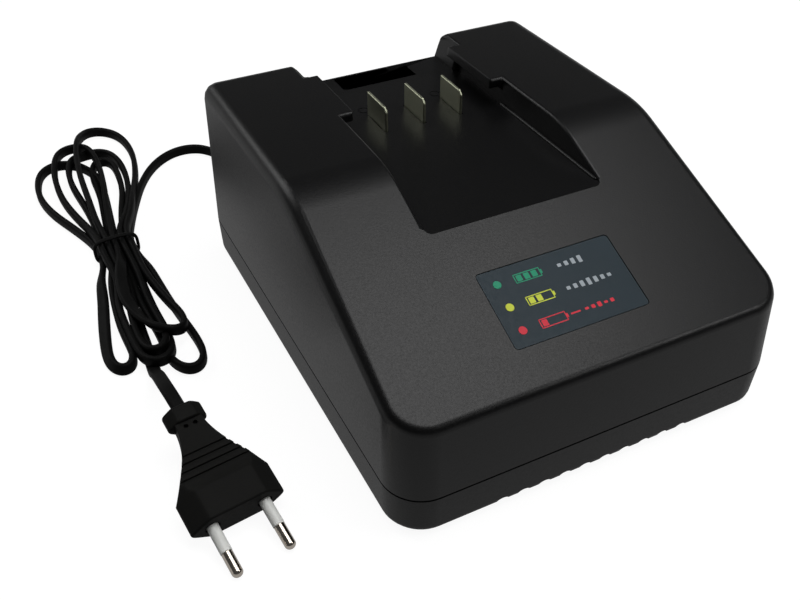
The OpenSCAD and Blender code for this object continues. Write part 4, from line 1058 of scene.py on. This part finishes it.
def makePlug():
    body = makePlugHead()
    combine(body, [makeCollar()], "UNION")
    hole, seat, deep = plug["holeRadius"], plug["seatRadius"], plug["seatDepth"]
    cuts = [turned("hole", [(0, 2), (hole, 2), (hole, 6), (0, 6)],
                   lambda p, x=x: atPlug((x + p[0], plug["length"] - plug["holeBack"] + p[2], p[1])), 20)
            for x in (-plug["holeSide"], plug["holeSide"])]
    cuts += [turned("seat", [(0, -1), (seat, -1), (seat - 0.2, deep), (0, deep)], atPin(side))
             for side in (-1, 1)]
    combine(body, cuts, "DIFFERENCE")
    shadeEvenly(body, 30)
    dress(body, "plug_black")
    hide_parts("plug_body")
    return body


# Two pins with rounded tips, each in a tube of white nylon
def makePins():
    radius, outer, core = plug["pinRadius"], plug["sleeveRadius"], plug["core"]
    sleeveEnd, tip = -plug["sleeveLength"], -plug["pinLength"]
    metal = [(0, 1), (core, 1), (core, sleeveEnd), (radius - 0.12, sleeveEnd), (radius, sleeveEnd - 0.12),
             (radius, tip + 2)]
    metal += [(radius * math.cos(t), tip + 1.7 - 1.7 * math.sin(t))
              for t in (0.15, 0.35, 0.6, 0.85, 1.1, 1.3, 1.45)]
    metal += [(0, tip)]
    tube = [(core + 0.02, 0.9), (outer - 0.05, 0.9), (outer, 0.4), (outer, sleeveEnd + 0.35),
            (outer - 0.1, sleeveEnd + 0.1), (outer - 0.35, sleeveEnd), (core + 0.02, sleeveEnd)]
    pieces = []
    for name, profile, closed in (("pinsMetal", metal, False), ("pinSleeves", tube, True)):
        pieces.append(joined(name, [turned("part", profile, atPin(side), 56, closed) for side in (-1, 1)]))
        shadeEvenly(pieces[-1], 30)
    dress(pieces[0], "pin_nickel")
    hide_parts("plug_pins")
    dress(pieces[1], "sleeve_white")
    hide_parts("plug_pin_sleeves")
    return pieces


# Radii, length and end half sizes of the strain relief in mm
relief = {"flange": 6.5, "flangeEdge": 6.2, "neck": 4.95, "length": 22, "ribs": 6, "rib": 4.5, "valley": 3.7,
          "end": 4.1, "endWide": 2.6, "endHigh": 3.7, "soft": 0.12, "around": 48}


# Rubber sleeve moulded on the cord: flanges each side of the wall, then a ribbed taper
def makeRelief():
    x, _, z = cord["exit"]
    inside, length = rear - case["wall"], relief["length"]
    flange, edge, neck = relief["flange"], relief["flangeEdge"], relief["neck"]
    rib, valley = relief["rib"], relief["valley"]
    stations = [(inside - 2, edge), (inside - 1.8, flange), (inside - 0.4, flange), (inside - 0.2, edge),
                (inside - 0.2, neck), (rear, neck), (rear, edge), (rear + 0.25, flange), (rear + 1.7, flange),
                (rear + 2, edge), (rear + 2, rib + 0.1)]
    pitch = (length - 4) / relief["ribs"]
    for i in range(relief["ribs"]):
        start = rear + 2.8 + i * pitch
        stations += [(start, rib), (start + 0.15, valley), (start + 0.9, valley), (start + 1.05, rib),
                     (start + pitch - 0.2, rib)]
    stations += [(rear + length - 0.4, rib), (rear + length, relief["end"])]
    rings = []
    for y, radius in stations:
        share = max(0, (y - rear - 2) / (length - 2))
        wide = (1 - share) * radius + share * (radius - rib + relief["endWide"])
        high = (1 - share) * radius + share * (radius - rib + relief["endHigh"])
        rings.append([(x + wide * math.cos(t), y, z + high * math.sin(t)) for t in turns(relief["around"])])
    sleeve = loft("strainRelief", rings)
    softenEdges(sleeve, relief["soft"])
    dress(sleeve, "cord_black")
    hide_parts("strain_relief")
    return sleeve


# Band size in mm; a higher power makes the loop squarer, and slant is how far it runs askew
tie = {"wide": 2.4, "thick": 1.5, "halfWidth": 10.5, "low": 0.15, "top": 12.9, "power": 3.4, "slant": 0.9,
       "slantTurn": 0.6, "around": 96, "section": 12}


# Band pulled round the waist of the hank, a little slack over the strands
def makeTie():
    middle, high = (tie["top"] + tie["low"]) / 2, (tie["top"] - tie["low"]) / 2
    rings = []
    for turn in turns(tie["around"]):
        c, s = math.cos(turn), math.sin(turn)
        far = (abs(c) ** tie["power"] + abs(s) ** tie["power"]) ** (-1 / tie["power"])
        out = Vector((c, s)).normalized()
        slant = tie["slant"] * math.sin(turn + tie["slantTurn"])
        ring = []
        for angle in turns(tie["section"]):
            across, up = 0.5 * tie["wide"] * math.cos(angle), 0.5 * tie["thick"] * (math.sin(angle) - 1)
            ring.append((cord["tieX"] + (tie["halfWidth"] * far) * c + up * out.x,
                         cord["tieY"] + across + slant, middle + high * far * s + up * out.y))
        rings.append(ring)
    band = loft("cordTie", rings, closed=True)
    shadeEvenly(band)
    dress(band, "cord_black")
    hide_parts("cord_tie")
    return band


plugPieces = [makePlug()] + makePins()
plugPieces + [makeTie(), makeRelief()]
print("stage: plug, relief and tie made")

# Half size in mm; mirrored is the share of its brightness that gloss sees, white the strength seen directly
ground = {"half": 2500, "colour": "#6e6e6e", "mirrored": 0.39, "white": 0.93}


def makeFloor():
    half = ground["half"]
    floor = newPiece("floor", [(-half, -half, 0), (half, -half, 0), (half, half, 0), (-half, half, 0)],
                     [[0, 1, 2, 3]])
    material, tree = emptyMaterial("paleFloor")
    rays = addNode(tree, "ShaderNodeLightPath").outputs
    gloss = addNode(tree, "ShaderNodeMath", {0: rays["Is Glossy Ray"], 1: ground["mirrored"]},
                    operation="MULTIPLY")
    seen = addNode(tree, "ShaderNodeMath", {0: rays["Is Camera Ray"], 1: gloss.outputs["Value"]},
                   operation="MAXIMUM")
    clear = addNode(tree, "ShaderNodeMath", {0: seen.outputs["Value"], 1: rays["Is Transmission Ray"]},
                    operation="MAXIMUM")
    lift = addNode(tree, "ShaderNodeMath", {0: clear.outputs["Value"], 1: ground["white"]},
                   operation="MULTIPLY")
    shader = addNode(tree, "ShaderNodeBsdfPrincipled",
                     {"Base Color": linearColour(ground["colour"]), "Roughness": 0.9, "Specular IOR Level": 0.0,
                      "Emission Color": (1, 1, 1, 1), "Emission Strength": lift.outputs["Value"]})
    addNode(tree, "ShaderNodeOutputMaterial", {"Surface": shader.outputs["BSDF"]})
    floor.data.materials.append(material)


# Each lamp: place and aim in mm, size in mm, power in W
lamps = {
    "overhead": {"place": (255, -50, 1200), "aim": (255, -50, 0), "size": (1040, 800), "power": 4.3},
    "overheadFront": {"place": (255, -150, 1198), "aim": (255, -150, 0), "size": (1040, 600), "power": 4.1},
    "frontRight": {"place": (720, -640, 820), "aim": (0, 0, 40), "size": (290, 290), "power": 1.6},
    "rearLeft": {"place": (-520, 860, 800), "aim": (0, 0, 60), "size": (520, 520), "power": 2.6},
}


def makeLamps():
    for name, choice in lamps.items():
        light = bpy.data.lights.new(name, "AREA")
        light.shape = "RECTANGLE"
        light.size, light.size_y = (v * mm for v in choice["size"])
        light.energy = choice["power"]
        lamp = addObject(name, light)
        aim = Vector(choice["aim"]) - Vector(choice["place"])
        lamp.rotation_euler = aim.to_track_quat("-Z", "Y").to_euler()
        lamp.location = Vector(choice["place"]) * mm


# The room is dim, with a soft bright band low on one side; its heights and spread are for a unit sphere
room = {"dim": 0.065, "bright": 0.7, "bandLow": 0.06, "bandHigh": 0.24, "toward": (-0.2, 0.98, 0),
        "spread": 0.5}


def makeRoom():
    world = bpy.data.worlds.new("studio")
    world.use_nodes = True
    tree = world.node_tree
    tree.nodes.clear()
    place = addNode(tree, "ShaderNodeTexCoord").outputs["Generated"]
    height = addNode(tree, "ShaderNodeSeparateXYZ", {"Vector": place})
    low = addNode(tree, "ShaderNodeMapRange",
                  {"Value": height.outputs["Z"], "From Min": room["bandLow"], "From Max": room["bandHigh"],
                   "To Min": 1.0, "To Max": 0.0}, interpolation_type="SMOOTHSTEP")
    toward = addNode(tree, "ShaderNodeVectorMath", {0: place, 1: room["toward"]}, operation="DOT_PRODUCT")
    beside = addNode(tree, "ShaderNodeMapRange",
                     {"Value": toward.outputs["Value"], "From Min": 0.0, "From Max": room["spread"],
                      "To Min": 0.0, "To Max": 1.0}, interpolation_type="SMOOTHSTEP")
    both = addNode(tree, "ShaderNodeMath", {0: low.outputs["Result"], 1: beside.outputs["Result"]},
                   operation="MULTIPLY")
    glow = addNode(tree, "ShaderNodeMapRange",
                   {"Value": both.outputs["Value"], "To Min": room["dim"], "To Max": room["bright"]})
    rays = addNode(tree, "ShaderNodeLightPath")
    level = addNode(tree, "ShaderNodeMath", {0: rays.outputs["Is Camera Ray"], 1: glow.outputs["Result"]},
                    operation="MAXIMUM")
    sky = addNode(tree, "ShaderNodeBackground", {"Color": (1, 1, 1, 1), "Strength": level.outputs["Value"]})
    addNode(tree, "ShaderNodeOutputWorld", {"Surface": sky.outputs["Background"]})
    bpy.context.scene.world = world


makeFloor()
makeLamps()
makeRoom()
bpy.context.scene.view_settings.view_transform = "Standard"
print("stage: floor and lamps placed")
